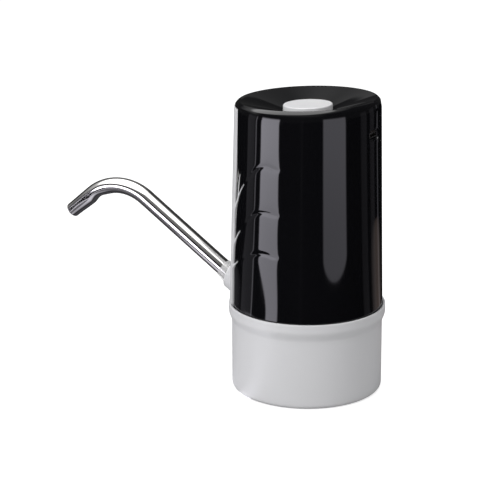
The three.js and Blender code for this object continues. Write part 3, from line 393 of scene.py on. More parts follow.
def onBody(flat, lift):
    # flat is (arc, height); above the rim's start the height runs on over the rim's round
    angle = flat[:, 0] / body["arc"]
    over = np.maximum(flat[:, 1] - body["rimStart"], 0) / body["rimRound"]
    z = np.minimum(flat[:, 1], body["rimStart"])
    r = np.where(over > 0, body["dishMouth"] + body["rimRound"] * np.cos(over), wallRadius(z))
    r = r + lift * np.cos(over)
    z = z + body["rimRound"] * np.sin(over) + lift * np.sin(over)
    return sloped(np.stack([-r * np.cos(angle), r * np.sin(angle), z], 1))


def flatAt(angle, z):
    # the flat place of a point on the wall, by its angle from the spout in degrees and its true height
    a = radians(angle)
    low, high = body["slopeFrom"]
    true = z
    for _ in range(12):
        share = float(smoothStep((z - low) / (high - low)))
        z = true + float(wallRadius(z)) * cos(a) * body["slope"] * share
    return a * body["arc"], z


def edgeDrop(flat, lines):
    # how far the surface falls at its cut edges, as a round of edgeRound
    radius = body["edgeRound"]
    inset = np.clip(radius - lineDistance(flat, lines), 0, radius)
    return radius - np.sqrt(radius ** 2 - inset ** 2)


# Outline of the front panel: its edge and three barbs on each side

panelSet = {
    "top": cadBox("front_panel")[1][2] + 2.3,
    # angle and height
    "edge": [(41.2, 0), (41.2, 61.2), (44.4, 77.2), (44.4, 91.2), (47.2, 113.2), (47, 145)],
    "barbs": [  # "back" is how far each runs back under what it grows from, as a share of its length
        {"marks": [(40, 62), (46, 65.8), (51.5, 67.5)], "width": 1.3, "back": 0.2},
        {"marks": [(41, 71.8), (48.3, 80.2), (55, 83.3)], "width": 1.2, "back": 0.2},
        {"marks": [(43, 90.7), (51.5, 101.2), (60.3, 106.8)], "width": 1.2, "back": 0.2},
        {"marks": [(50.8, 99), (51, 105.2), (53.8, 110.9)], "width": 0.6, "back": 0.0},
    ],
    "corner": 47.0,  # angle of its top corners
    "tipWidth": 0.3,
    "rootRound": 1.3,  # where a barb leaves the edge
    "proud": 1.0,  # at the foot; nothing at the top
    "blend": 3.0,  # over which a barb comes down flush with the shell
    "flush": 0.05,  # what is left of "proud" there
    "swell": (0.2, 0.25),  # how far over the flange it begins to stand proud, and over what height
    "lipRows": (43.0, 43.3, 43.5, 43.8, 44.3),  # heights of the mesh rows there
    "lap": 2.6,  # how far it reaches sideways behind the shell
    "lapWall": 1.1,
    "lapEnds": (3, 0.3),  # over the flange and under the panel's top
}


def panelEdgeAt(z):
    marks = np.array(panelSet["edge"])
    return np.interp(z, marks[:, 1], marks[:, 0])


def bezier(a, b, c, t):
    return tuple((1 - t) ** 2 * np.array(a) + 2 * t * (1 - t) * np.array(b) + t * t * np.array(c))


def crossing(lineA, lineB):
    # where two lines cross, as (index in A, index in B, point)
    for i, (p, q) in enumerate(zip(lineA, lineA[1:])):
        for j, (u, v) in enumerate(zip(lineB, lineB[1:])):
            d = (q[0] - p[0]) * (v[1] - u[1]) - (q[1] - p[1]) * (v[0] - u[0])
            if abs(d) < 1e-12:
                continue
            s = ((u[0] - p[0]) * (v[1] - u[1]) - (u[1] - p[1]) * (v[0] - u[0])) / d
            t = ((u[0] - p[0]) * (q[1] - p[1]) - (u[1] - p[1]) * (q[0] - p[0])) / d
            if 0 <= s <= 1 and 0 <= t <= 1:
                return i, j, (p[0] + s * (q[0] - p[0]), p[1] + s * (q[1] - p[1]))


def roundCorner(line, at, radius):
    # swaps the corner nearest to "at" for a curve that starts and ends "radius" away from it
    line = [np.array(p) for p in line]
    corner = min(range(len(line)), key=lambda i: np.hypot(*(line[i] - at)))
    first, last = corner, corner
    while first > 0 and np.hypot(*(line[first] - line[corner])) < radius:
        first -= 1
    while last < len(line) - 1 and np.hypot(*(line[last] - line[corner])) < radius:
        last += 1
    curve = [bezier(line[first], line[corner], line[last], k / 6) for k in range(1, 6)]
    return [tuple(p) for p in line[:first + 1]] + curve + [tuple(p) for p in line[last:]]


def panelSide(foot):
    # the panel's edge on one side, from its foot up to its top
    top = flatAt(panelSet["corner"], panelSet["top"])[1]
    heights = np.linspace(foot, top, 140)
    line = [(radians(panelEdgeAt(z)) * body["arc"], z) for z in heights]
    for barb in panelSet["barbs"]:
        marks = [flatAt(*m) for m in barb["marks"]]
        shares = np.linspace(-barb["back"], 1, 37)
        centre = [bezier(*marks, share) for share in shares]
        half = (barb["width"] + (panelSet["tipWidth"] - barb["width"]) * shares) / 2
        way = np.gradient(np.array(centre), axis=0)
        way /= np.hypot(way[:, :1], way[:, 1:])
        normal = np.stack([-way[:, 1], way[:, 0]], 1)
        upper = [tuple(p) for p in np.array(centre) + normal * half[:, None]]
        lower = [tuple(p) for p in np.array(centre) - normal * half[:, None]]
        turn = atan2(way[-1][1], way[-1][0])
        tip = [(centre[-1][0] + half[-1] * cos(turn + a), centre[-1][1] + half[-1] * sin(turn + a))
               for a in (-pi / 3, -pi / 6, 0, pi / 6, pi / 3)]
        i, j, first = crossing(line, lower)
        k, m, second = crossing(line, upper)
        line = (line[:i + 1] + [first] + lower[j + 1:] + tip + upper[:m:-1] + [second] + line[k + 1:])
        for corner in (first, second):
            line = roundCorner(line, np.array(corner), panelSet["rootRound"])
    return line


def panelOutline(foot, grow):
    side, corner, topSteps = evenly(panelSide(foot), body["outlineStep"]), panelSet["corner"], 60
    top = [flatAt(corner - 2 * corner * i / topSteps, panelSet["top"]) for i in range(topSteps + 1)]
    side = side[:-1] + [top[0]]
    if grow:
        top = [(s * (1 + grow / top[0][0]), t + grow) for s, t in top]
        side = beside(side, -grow)[:-1] + [top[0]]
    return side + top[1:-1] + [(-s, t) for s, t in reversed(side)]


# Outer shell, with its grooves, port, rim, dish and button hole

shellSet = {
    "seam": 150,  # degrees from the spout, where the flat outline is joined
    "columns": 288,  # of the mesh, round the body
    "rowStep": 2.5,  # between its rows
    "fineStep": 0.5,  # between its rows at the grooves
    "grooves": [
        # angle, height and share of the depth
        [(57, 69.8, 0.1), (66, 72.4, 0.3), (75, 74.9, 0.8), (84, 75.8, 1), (91, 75.2, 1), (96, 74.8, 0)],
        [(60, 86.4, 0.1), (67, 90.6, 0.3), (75, 94.6, 0.8), (84, 95.9, 1), (91, 95.5, 1), (96, 95.1, 0)],
        [(62.5, 107.4, 0.1), (68, 111.4, 0.3), (75, 116, 0.8), (84, 118.2, 1), (91, 117.4, 1),
         (96, 116.7, 0)],
    ],
    "grooveBands": [(68.5, 78.0), (85.0, 97.5), (107.0, 120.5)],  # heights where the mesh is finer
    "grooveDepth": 0.28,
    "grooveCore": 0.8,  # half width of its sharp middle, and of the soft hollow round it
    "grooveSide": 2.5,
    "grooveReach": 12,  # beyond it the hollow is left out
    "grooveShares": (0.35, 0.65),  # of the depth, in the soft hollow and in the middle
    "portHeight": 130.4,
    "portSize": (8.2, 3.4),
    "portCorner": 1.1,
    "portSeat": 0.8,  # of the recess round the port
    "portSeatDepth": 0.5,
    "portSeatEdge": (0.7, 0.16),  # where its step starts, and how wide the step is
    "portBreak": 0.15,  # of the port's own edge
    "portRows": (0.06, 0.15, 0.68, 0.76, 0.84, 0.95),  # of mesh points round it
    "posts": (19.75, 2.6, 129.0, 139.5),  # ring, radius, foot and top of the board's posts
    "postAngles": (90, 210, 330),
    "columnsAt": (30.55, 3.0, 34.3, 62.0),  # ring, radius, foot and top of the screw columns
    "columnAngles": (-90, -20, 90),
}


def grooveLines():
    lines, shares = [], []
    for marks in shellSet["grooves"]:
        smooth = smoothLine([(*flatAt(a, z), share) for a, z, share in marks], 12)
        for side in (1, -1):
            lines.append([(side * s, t) for s, t, _ in smooth])
            shares.append([share for _, _, share in smooth])
    return lines, shares


def portLoop(grow):
    width, height = (v / 2 for v in shellSet["portSize"])
    corner = shellSet["portCorner"]
    w, h = width - corner, height - corner
    corners = [(w, h, 0), (-w, h, 90), (-w, -h, 180), (w, -h, 270)]
    loop = []
    for cx, cy, start in corners:
        loop += arcPoints(cx, cy, corner + grow, start, start + 90, 6)
    middle = flatAt(180, shellSet["portHeight"])
    return evenly([(middle[0] - 2 * pi * body["arc"] + x * body["arc"] / body["topRadius"], middle[1] + y)
                   for x, y in loop], body["outlineStep"])


def makeShell():
    arc, foot = body["arc"], body["shellFoot"]
    high = body["rimStart"] + radians(body["rimJoin"]) * body["rimRound"]
    step = 2 * pi / shellSet["columns"]
    right = radians(shellSet["seam"])
    turns = [right - k * step for k in range(shellSet["columns"] + 1)]
    opening = panelOutline(foot, body["gap"])
    bands = shellSet["grooveBands"]
    rowStep = shellSet["rowStep"]
    coarse = [z for z in np.arange(foot + rowStep, high - 1, rowStep)
              if not any(low - 1 < z < up + 1 for low, up in bands)]
    rowsAt = sorted(coarse + [z for low, up in bands for z in np.arange(low, up, shellSet["fineStep"])])
    sideRows = [(0, z) for z in [foot, *rowsAt, high]]
    bottom = [a * arc for a in reversed(turns)]
    bottomRight = [(s, foot) for s in bottom if opening[0][0] + 0.5 < s < turns[0] * arc - 0.1]
    bottomLeft = [(s, foot) for s in bottom if turns[-1] * arc + 0.1 < s < opening[-1][0] - 0.5]
    rightSide = [(turns[0] * arc, z) for _, z in sideRows]
    topLine = [(a * arc, high) for a in turns[1:-1]]
    leftSide = [(turns[-1] * arc, z) for _, z in reversed(sideRows)]
    loop = opening[::-1] + bottomRight + rightSide + topLine + leftSide + bottomLeft
    port = portLoop(0)
    seeds = np.array([(a * arc, z) for a in turns for z in rowsAt])
    portEdge = port + [port[0]]
    around = np.concatenate([
        edgeRows(opening, -1, loop),
        np.array([p for grow in shellSet["portRows"] for p in portLoop(grow)]),
    ])
    seeds = seeds[lineDistance(seeds, [opening, portEdge]) > body["edgeClear"]]
    seeds = seeds[lineDistance(seeds, [portLoop(shellSet["portSeat"])]) > body["meshStep"]]
    grooves, shares = grooveLines()

    def outerLift(flat):
        away, share = lineDistance(flat, grooves, shares)
        soft, sharp = shellSet["grooveShares"]
        sink = soft * np.exp(-away / shellSet["grooveSide"])
        sink += sharp * np.exp(-(away / shellSet["grooveCore"]) ** 2)
        lift = -shellSet["grooveDepth"] * share * sink * (away < shellSet["grooveReach"])
        lift -= edgeDrop(flat, [opening])
        toPort = lineDistance(flat, [portEdge])
        start, wide = shellSet["portSeatEdge"]
        lift -= shellSet["portSeatDepth"] * (1 - smoothStep((toPort - start) / wide))
        lift -= shellSet["portBreak"] * (1 - np.clip(toPort / shellSet["portBreak"], 0, 1)) ** 2
        return lift

    shell = thickWall("shellWall", [loop, port], seeds, around, outerLift, level(-body["wall"]),
                      topLine + rightSide + leftSide, rimGrid(turns))
    rods = []
    for name, row, angles in (("post", "posts", "postAngles"), ("column", "columnsAt", "columnAngles")):
        ring, radius, low, top = shellSet[row]
        rods += [rodAt(name, x, y, radius, low, top) for x, y in ringPlaces(ring, shellSet[angles])]
    return gather(shell, rods)


def rodAt(name, x, y, radius, low, high):
    profile = [(0, low), (radius - 0.3, low), (radius, low + 0.3), (radius, high), (0, high)]
    return upright(name, profile, x, y)


def rimGrid(turns):
    # the rest of the shell's surface: over the crest, down the dish, through the button hole and back under
    mouth, start, radius, wall = (body[k] for k in ("dishMouth", "rimStart", "rimRound", "wall"))
    hole, dish, edge, ease = (body[k] for k in ("buttonHole", "dishFloor", "rimEdge", "holeEase"))
    join, turn = body["rimJoin"], body["rimTurn"]
    edgeAt = (mouth + (radius - edge) * cos(radians(turn)), start + (radius - edge) * sin(radians(turn)))
    cone = degrees(atan2(edgeAt[1] + edge - dish, edgeAt[0] - hole))
    crest = arcPoints(mouth, start, radius, join, turn, 10)
    crest += arcPoints(*edgeAt, edge, turn, 90 + cone, 8)[1:]
    coneEnd = (hole + ease, dish + ease * tan(radians(cone)))
    slope = [between(crest[-1], coneEnd, k, 14) for k in range(1, 15)]
    lip = [(hole + out, dish - down) for out, down in body["holeLip"]]
    under = [(hole, body["ceiling"])] + arcPoints(mouth, start, radius - wall, 90 + cone, join, 6)
    profile = crest + slope + lip + under
    rows = np.array([(r, z, a) for r, z in profile for a in turns])
    r, z, a = rows.T
    points = sloped(np.stack([-r * np.cos(a), r * np.sin(a), z], 1))
    return [tuple(p) for p in points], gridFaces(len(profile), len(turns))


# Front panel: wall with its barbs, lap behind the shell, and the nose that holds the spout

def proudAt(flat):
    high = flatAt(0, panelSet["top"])[1]
    share = np.clip((flat[:, 1] - body["flangeTop"]) / (high - body["flangeTop"]), 0, 1)
    main = panelSet["proud"] * (1 - share)
    beyond = np.abs(flat[:, 0]) - np.radians(panelEdgeAt(flat[:, 1])) * body["arc"]
    flush, (start, rise) = panelSet["flush"], panelSet["swell"]
    foot = smoothStep((flat[:, 1] - body["flangeTop"] - start) / rise)  # inside the flange's lip it is thin
    return (flush + (np.maximum(main, flush) - flush) * (1 - smoothStep(beyond / panelSet["blend"]))) * foot


def makePanelWall():
    foot = body["shellFoot"]
    outline = panelOutline(foot, 0)
    loop = outline + [between(outline[-1], outline[0], k, 80) for k in range(1, 80)]
    spread = outline[0][0] + 30
    heights = [*np.arange(foot + 1, 42.6, 1), *panelSet["lipRows"], *np.arange(45, 141, 1.1)]
    seeds = np.array([(s, t) for s in np.arange(-spread, spread, 0.8) for t in heights])
    rows = edgeRows(outline, 1, loop)
    seeds = seeds[lineDistance(seeds, [outline]) > body["edgeClear"]]
    return thickWall("panelWall", [loop], seeds, rows, lambda flat: proudAt(flat) - edgeDrop(flat, [outline]),
                     level(-body["wall"] - body["gap"]))


def curvedSlab(name, width, low, high, outerLift, innerLift):
    # a slab that follows the body, between two heights; width gives its half arc at each height
    rows, count = 41, 61
    flat = np.array([(width(z) * (2 * i / (count - 1) - 1), z)
                     for z in np.linspace(low, high, rows) for i in range(count)])
    points = np.concatenate([onBody(flat, outerLift(flat)), onBody(flat, innerLift(flat))])
    size = len(flat)
    faces = []
    for a, b, c, d in gridFaces(rows, count):
        faces += [(a, b, c, d), (a + size, d + size, c + size, b + size)]
    rim = list(range(count)) + [i * count + count - 1 for i in range(1, rows)]
    rim += [(rows - 1) * count + j for j in range(count - 2, -1, -1)]
    rim += [i * count for i in range(rows - 2, 0, -1)]
    faces += [(a, a + size, b + size, b) for a, b in zip(rim, rim[1:] + rim[:1])]
    return cleanMesh(meshObject(name, [tuple(p) for p in points], faces))


def makeLap():
    inside = -body["wall"] - body["gap"] - 0.02
    width = lambda z: radians(float(panelEdgeAt(z))) * body["arc"] + panelSet["lap"]
    foot, head = panelSet["lapEnds"]
    return curvedSlab("panelLap", width, body["flangeTop"] + foot, panelSet["top"] - head,
                      level(inside), level(inside - panelSet["lapWall"]))


spoutSet = {
    "root": Vector((-36.0, 0, 45.5)),  # where the axis leaves the works
    "slope": radians(33.8),
    "radius": 4.25,
    "wall": 0.5,
    "start": 3.8,  # along the axis from the root
    "straight": 68.5,
    "bendRadius": 27.5,
    "bend": radians(72.8),
    "tip": 17.6,
    "tipRadius": 3.9,
    "taperFrom": 0.1,  # share of the tip
    "taperShares": (0.3, 0.7),  # of the taper, outside and inside the bend
    "dent": 0.8,  # of the crease inside the bend's end
    "dentAt": (0.93, 0.13),  # its place and width, as shares of the bend
    "dentTail": 0.11,  # its width beyond, as a share of the tip
    "flatten": 0.18,
    "bossEnd": 12.2,
    "bossRadius": 6.6,
    "bossRound": 0.6,
    "socket": (2.6, 5.5),  # start along the axis, and radius
    "sealRadius": 5.2,
    "sealEnd": 14.0,
    "sealTaper": 0.5,
    "sealGap": 0.2,  # between its bore and the tube
    "sealRibs": (2.6, 5.8),  # places of the ribs from the seal's start
    "sealRib": (0.7, 0.12),  # half width and height of a rib
    "sealPlain": 7.4,  # where the taper starts
    "sealLip": 0.25,
}
outAlong = Vector((-cos(spoutSet["slope"]), 0, sin(spoutSet["slope"])))
overAcross = Vector((sin(spoutSet["slope"]), 0, cos(spoutSet["slope"])))


def atSpout(p):
    return tuple(spoutSet["root"] + overAcross * p[0] + Vector((0, 1, 0)) * p[1] + outAlong * p[2])


noseSet = {
    # out of the shell, half width and rise over the flange
    "chin": [(2.8, 1.6, -6), (4.8, 2.8, -3.4), (6.8, 4.2, 0), (8.4, 5.5, 3), (9.2, 6.3, 6),
             (8.6, 6.5, 9), (5.8, 5.6, 13), (0.8, 3.2, 17)],
    "back": 35.45,
    "patch": (17.0, 0.4, 68.0, 0.12),  # half width, foot over the flange, top, and depth under the panel
    "inside": 33.75,  # radius it is cut back to behind the wall
    "mouth": ((-44.3, 0, 48.5), 18),  # a point on the plane of its mouth, and the plane's lean in degrees
    "voxel": 0.4,
    "smooth": 14,
}


def makeNose():
    # the cutters reach well past what they cut
    radius, end, corner = (spoutSet[k] for k in ("bossRadius", "bossEnd", "bossRound"))
    edge = arcPoints(radius - corner, end - corner, corner, 0, 90, 5)
    boss = lathe("boss", [(0, -2), (radius, -2), *edge, (0, end)], 96, atSpout)
    rings = smoothLine(noseSet["chin"], 6)
    sides, points = 48, []
    for reach, half, rise in rings:
        for j in range(sides):
            a = 2 * pi * j / sides
            out = body["seatRadius"] + reach - noseSet["back"] if cos(a) > 0 else 0.6
            points.append((-noseSet["back"] - out * cos(a), half * sin(a), body["flangeTop"] + rise))
    faces = gridFaces(len(rings), sides, around=True)
    faces += [tuple(range(sides)), tuple((len(rings) - 1) * sides + j for j in range(sides))]
    chin = cleanMesh(meshObject("chin", points, faces))
    wide, foot, top, deep = noseSet["patch"]
    patch = curvedSlab("patch", lambda z: wide, body["flangeTop"] + foot, top,
                       lambda flat: proudAt(flat) - deep, level(-body["wall"]))
    nose = combine(boss, [chin, patch], "UNION")
    point, lean = Vector(noseSet["mouth"][0]), radians(noseSet["mouth"][1])
    up, out = Vector((sin(lean), 0, cos(lean))), Vector((-cos(lean), 0, sin(lean)))
    trim = lathe("trim", [(0, 0), (20, 0), (20, 20), (0, 20)], 48,
                 lambda p: tuple(point + up * p[0] + Vector((0, p[1], 0)) + out * p[2]))
    combine(nose, [trim])
    step = nose.modifiers.new("even", "REMESH")
    step.mode = "VOXEL"
    step.voxel_size = mm(noseSet["voxel"])
    step = nose.modifiers.new("soft", "SMOOTH")
    step.factor = 0.5
    step.iterations = noseSet["smooth"]
    bake(nose)
    radius = noseSet["inside"]
    inside = lathe("inside", [(0, 0), (radius, 0), (radius, 90), (0, 90)])
    flange, top = -baseBox[0][0] + body["gap"], body["flangeTop"] + body["gap"]
    lip = lathe("lip", [(30, 20), (flange, 20), (flange, top), (30, top)])
    start, socket = spoutSet["socket"]
    hole = lathe("hole", [(0, start), (socket, start), (socket, 18), (0, 18)], 96, atSpout)
    combine(nose, [inside, lip, hole])
    nose.name = "frontPanelNose"
    return shadeSmooth(nose)


# Spout tube and its seal

def makeSpoutTube():
    # each ring: place across and along the axis, turn, and radii outside the bend, inside it and sideways
    s, rings = spoutSet, []
    for z in np.linspace(s["start"], s["straight"], 14)[:-1]:
        rings.append((0, z, 0, s["radius"], s["radius"], s["radius"]))
    steps, (dentAt, dentWide) = 72, s["dentAt"]
    for i in range(steps + 1):
        share = i / steps
        turn = s["bend"] * share
        flat = s["flatten"] * sin(pi * share)
        dent = s["dent"] * float(np.exp(-(((share - dentAt) / dentWide) ** 2)))
        rings.append((-s["bendRadius"] * (1 - cos(turn)), s["straight"] + s["bendRadius"] * sin(turn), turn,
                      s["radius"] - flat, s["radius"] - flat - dent, s["radius"] + flat / 2))
    endX, endZ = rings[-1][0], rings[-1][1]
    taperFrom, (outerShare, innerShare) = s["taperFrom"], s["taperShares"]
    firstDent = s["dent"] * float(np.exp(-(((1 - dentAt) / dentWide) ** 2)))
    for share in np.linspace(0, 1, 25)[1:]:
        narrowed = float(smoothStep((share - taperFrom) / (1 - taperFrom)))
        radius = s["radius"] + (s["tipRadius"] - s["radius"]) * narrowed
        dent = firstDent * float(np.exp(-((share / s["dentTail"]) ** 2)) * (1 - share))
        drop = s["radius"] - radius
        rings.append((endX - sin(s["bend"]) * s["tip"] * share, endZ + cos(s["bend"]) * s["tip"] * share,
                      s["bend"], s["radius"] - drop * outerShare, radius - drop * innerShare - dent, radius))
    sides, half, points = 96, s["wall"] / 2, []

    def addRing(ring, inset, shift):
        x, z, turn, outer, innerSide, across = ring
        x, z = x - sin(turn) * shift, z + cos(turn) * shift
        for j in range(sides):
            a = 2 * pi * j / sides
            u = ((outer if cos(a) > 0 else innerSide) - inset) * cos(a)
            points.append(atSpout((x + u * cos(turn), (across - inset) * sin(a), z + u * sin(turn))))

    def lipOf(ring, outwardEnd):
        # a half round from the outside to the inside
        for a in range(15, 180, 15):
            addRing(ring, half - half * cos(radians(a)), outwardEnd * (half * sin(radians(a)) - half))

    start, end = rings[0], rings[-1]
    addRing(start, 0, half)
    for ring in rings[1:-1]:
        addRing(ring, 0, 0)
    addRing(end, 0, -half)
    lipOf(end, 1)
    addRing(end, s["wall"], -half)
    for ring in reversed(rings[1:-1]):
        addRing(ring, s["wall"], 0)
    addRing(start, s["wall"], half)
    for a in range(165, 0, -15):
        addRing(start, half - half * cos(radians(a)), half - half * sin(radians(a)))
    faces = gridFaces(len(points) // sides, sides, around=True, closed=True)
    return cleanMesh(meshObject("spoutTube", points, faces), sharpAt=60)


def makeSeal():
    s = spoutSet
    low, high, radius, lip = (s[k] for k in ("start", "sealEnd", "sealRadius", "sealLip"))
    bore, thin = s["radius"] + s["sealGap"], radius - s["sealTaper"]
    profile = [(bore, low), (radius - 0.3, low), (radius, low + 1)]
    half, height = s["sealRib"]
    for z in s["sealRibs"]:
        profile += [(radius, low + z - half), (radius + height, low + z), (radius, low + z + half)]
    profile += [(radius, low + s["sealPlain"]), (thin, high - 1.4)]
    profile += arcPoints(thin - lip, high - 0.35, lip, 0, 90, 5)
    profile += [(bore + 0.15, high - 0.1), (bore, high - 0.3)]
    return lathe("spoutSeal", profile, 96, atSpout)


# Base: skirt, flange and deck

baseSet = {
    "radius": 37.0,
    "wall": 2.5,
    "footRound": 2.4,
    "footInner": 31.0,
    "footLip": 4.0,
    "band": 3.7,  # height of the flange's upright band
    "blend": 5.5,  # of the flare under it
    "lipWall": 1.15,
    "deckTop": 34.0,
    "deck": 2.5,
    "fittingX": -7.0,
    "fittingHole": 3.8,
    "screwRing": 30.55,
    "screwHole": 1.65,
    "driverNotch": 3.0,
    "bossAt": [(23.73, 18.5), (-23.73, 18.5)],
    "boss": (3.0, 6.5, 0.5),  # radius, and depths of its foot and its top under the deck
    "bossHole": 1.45,
}


def makeBase():
    b, top, flange = baseSet, body["flangeTop"], -baseBox[0][0]
    radius, inner, ledge = b["radius"], b["radius"] - b["wall"], body["flangeTop"] - b["band"]
    under = b["deckTop"] - b["deck"]
    flareFoot, foot = ledge - b["blend"], b["footRound"]
    flare = [(radius + (flange - radius) * float(smoothStep(k / 12)), flareFoot + b["blend"] * k / 12)
             for k in range(13)]
    profile = [(0, under), (inner - 1, under), *arcPoints(inner - 1, under - 1, 1, 90, 0, 4),
               (inner, b["footLip"] + 0.6), (inner - 0.2, b["footLip"] + 0.2), (inner - 0.6, b["footLip"]),
               (b["footInner"] + 0.3, b["footLip"]), (b["footInner"], b["footLip"] - 0.3),
               (b["footInner"], 0.4), (b["footInner"] + 0.4, 0),
               *arcPoints(radius - foot, foot, foot, -90, 0, 12),
               *[(radius, foot + (flareFoot - foot) * k / 14) for k in range(1, 14)],
               *flare, (flange, ledge + 0.5), (flange, top - 0.6),
               *arcPoints(flange - 0.5, top - 0.5, 0.5, 0, 90, 5),
               *arcPoints(flange - b["lipWall"] + 0.3, top - 0.3, 0.3, 90, 180, 4),
               (flange - b["lipWall"], ledge), (inner, ledge), (inner, b["deckTop"]), (0, b["deckTop"])]
    base = lathe("baseSkirt", profile, 224)
    size, deep, sunk = b["boss"]
    bosses = [rodAt("boss", x, y, size, b["deckTop"] - deep, b["deckTop"] - sunk) for x, y in b["bossAt"]]
    combine(base, bosses, "UNION")
    places = ringPlaces(b["screwRing"], shellSet["columnAngles"])
    cuts = [drill(x, y, b["screwHole"]) for x, y in places]
    cuts += [drill(x, y, b["driverNotch"], -1, b["footLip"] + 1) for x, y in places]
    cuts.append(drill(b["fittingX"], 0, b["fittingHole"]))
    cuts += [drill(x, y, b["bossHole"]) for x, y in b["bossAt"]]
    return shadeSmooth(combine(base, cuts))


def drill(x, y, radius, low=20, high=baseSet["deckTop"] + 3):
    return upright("drill", [(0, low), (radius, low), (radius, high), (0, high)], x, y)


# Power button

buttonSet = {
    "radius": 11.85,
    "face": 141.9,
    "shoulder": 136.7,
    "shoulderOut": 1.4,
    "wall": 1.6,
    "corner": 0.7,
    "dish": 0.12,
    "stem": 2.35,
}


def makeButton():
    radius, face, under, corner = (buttonSet[k] for k in ("radius", "face", "shoulder", "corner"))
    low = cadBox("power_button")[0][2]
    inner, wide, stem = radius - buttonSet["wall"], radius + buttonSet["shoulderOut"], buttonSet["stem"]
    dish = [(r, face - buttonSet["dish"] * (1 - (r / inner) ** 2)) for r in np.linspace(0, inner, 10)]
    profile = [*dish, *arcPoints(radius - corner, face - corner, corner, 90, 0, 8), (radius, under),
               (wide, under), (wide, under - 1), (inner, under - 1),
               (inner, face - 2), (stem, face - 2), (stem, low), (0, low)]

    def tilt(p):
        share = 1.0 if p[2] > under + 1 else 0.0
        return p[0], p[1], p[2] + p[0] * body["slope"] * share

    return lathe("pushButton", profile, 128, tilt)


# Shader nodes

def put(tree, kind, inputs=(), **settings):
    node = tree.nodes.new(kind)
    for key, value in settings.items():
        setattr(node, key, value)
    for key, value in (inputs.items() if isinstance(inputs, dict) else enumerate(inputs)):
        if isinstance(value, bpy.types.NodeSocket):
            tree.links.new(value, node.inputs[key])
        elif value is not None:
            node.inputs[key].default_value = value
    return node


def maths(tree, operation, *values):
    return put(tree, "ShaderNodeMath", values, operation=operation).outputs[0]


def vectors(tree, operation, first, second=None, output="Vector"):
    return put(tree, "ShaderNodeVectorMath", {0: first, 1: second}, operation=operation).outputs[output]


def ramp(tree, value, fromLow, fromHigh, toLow=0.0, toHigh=1.0):
    ends = {"From Min": fromLow, "From Max": fromHigh, "To Min": toLow, "To Max": toHigh}
    node = put(tree, "ShaderNodeMapRange", {"Value": value, **ends}, interpolation_type="SMOOTHSTEP")
    return node.outputs["Result"]


def mixShaders(tree, share, first, second):
    return put(tree, "ShaderNodeMixShader", {0: share, 1: first.outputs[0], 2: second.outputs[0]})


def makeGroup(name, inputs, outputs, build):
    group = bpy.data.node_groups.new(name, "ShaderNodeTree")
    for label, kind, value in inputs:
        socket = group.interface.new_socket(label, in_out="INPUT", socket_type=kind)
        if value is not None:
            socket.default_value = value
    for label, kind in outputs:
        group.interface.new_socket(label, in_out="OUTPUT", socket_type=kind)
    start, end = group.nodes.new("NodeGroupInput"), group.nodes.new("NodeGroupOutput")
    for label, socket in build(group, start.outputs).items():
        group.links.new(socket, end.inputs[label])
    return group


def useGroup(tree, group, **values):
    inputs = {key.replace("_", " "): value for key, value in values.items()}
    return put(tree, "ShaderNodeGroup", inputs, node_tree=group).outputs


def noise(tree, scale, detail, rough=0.5, stretch=None):
    place = put(tree, "ShaderNodeTexCoord").outputs["Object"]
    if stretch:
        place = put(tree, "ShaderNodeMapping", {"Vector": place, "Scale": stretch}).outputs[0]
    return put(tree, "ShaderNodeTexNoise", {"Vector": place, "Scale": scale, "Detail": detail,
                                            "Roughness": rough}).outputs["Fac"]


def buildMoulded(tree, given):
    # moulded plastic: faint cloudy tone, fine grain and slight unevenness of the gloss
    cloud = noise(tree, 60.0, 2.0)
    grain = noise(tree, given["Grain Scale"], 2.0)
    tone = put(tree, "ShaderNodeMix", {"Factor": cloud, 6: given["Color"], 7: given["Color Two"]},
               data_type="RGBA")
    gloss = ramp(tree, cloud, 0.3, 0.7, -1.0, 1.0)
    rough = maths(tree, "MULTIPLY_ADD", gloss, given["Roughness Spread"], given["Roughness"])
    return {"Color": tone.outputs[2], "Roughness": rough, "Height": grain}


moulded = makeGroup("mouldedSurface", [
    ("Color", "NodeSocketColor", (0.7, 0.7, 0.7, 1)), ("Color Two", "NodeSocketColor", (0.7, 0.7, 0.7, 1)),
    ("Roughness", "NodeSocketFloat", 0.4), ("Roughness Spread", "NodeSocketFloat", 0.03),
    ("Grain Scale", "NodeSocketFloat", 3000.0),
], [
    ("Color", "NodeSocketColor"), ("Roughness", "NodeSocketFloat"), ("Height", "NodeSocketFloat"),
], buildMoulded)


def buildHandled(tree, given):
    # a polished surface that has been handled: hairline scratches and faint smears
    smear = ramp(tree, noise(tree, 35.0, 4.0, 0.6), 0.45, 0.75)
    hairA = noise(tree, 90.0, 1.0, 0.5, (1.0, 1.0, 40.0))
    hairB = noise(tree, 140.0, 1.0, 0.5, (30.0, 1.0, 1.0))
    hair = maths(tree, "MULTIPLY", ramp(tree, hairA, 0.66, 0.74), ramp(tree, hairB, 0.5, 0.7))
    amount = maths(tree, "MULTIPLY_ADD", hair, 0.6, maths(tree, "MULTIPLY", smear, 0.4))
    rough = maths(tree, "MULTIPLY_ADD", amount, given["Handling"], given["Roughness"])
    return {"Roughness": rough, "Height": noise(tree, given["Wave Scale"], 1.0)}


handled = makeGroup("handledGloss", [
    ("Roughness", "NodeSocketFloat", 0.05), ("Handling", "NodeSocketFloat", 0.05),
    ("Wave Scale", "NodeSocketFloat", 45.0),
], [("Roughness", "NodeSocketFloat"), ("Height", "NodeSocketFloat")], buildHandled)


def startMaterial(name):
    material = bpy.data.materials.new(name)
    material.use_nodes = True
    tree = material.node_tree
    tree.nodes.clear()
    shader = put(tree, "ShaderNodeBsdfPrincipled")
    end = put(tree, "ShaderNodeOutputMaterial", {"Surface": shader.outputs[0]})
    return material, tree, shader, end


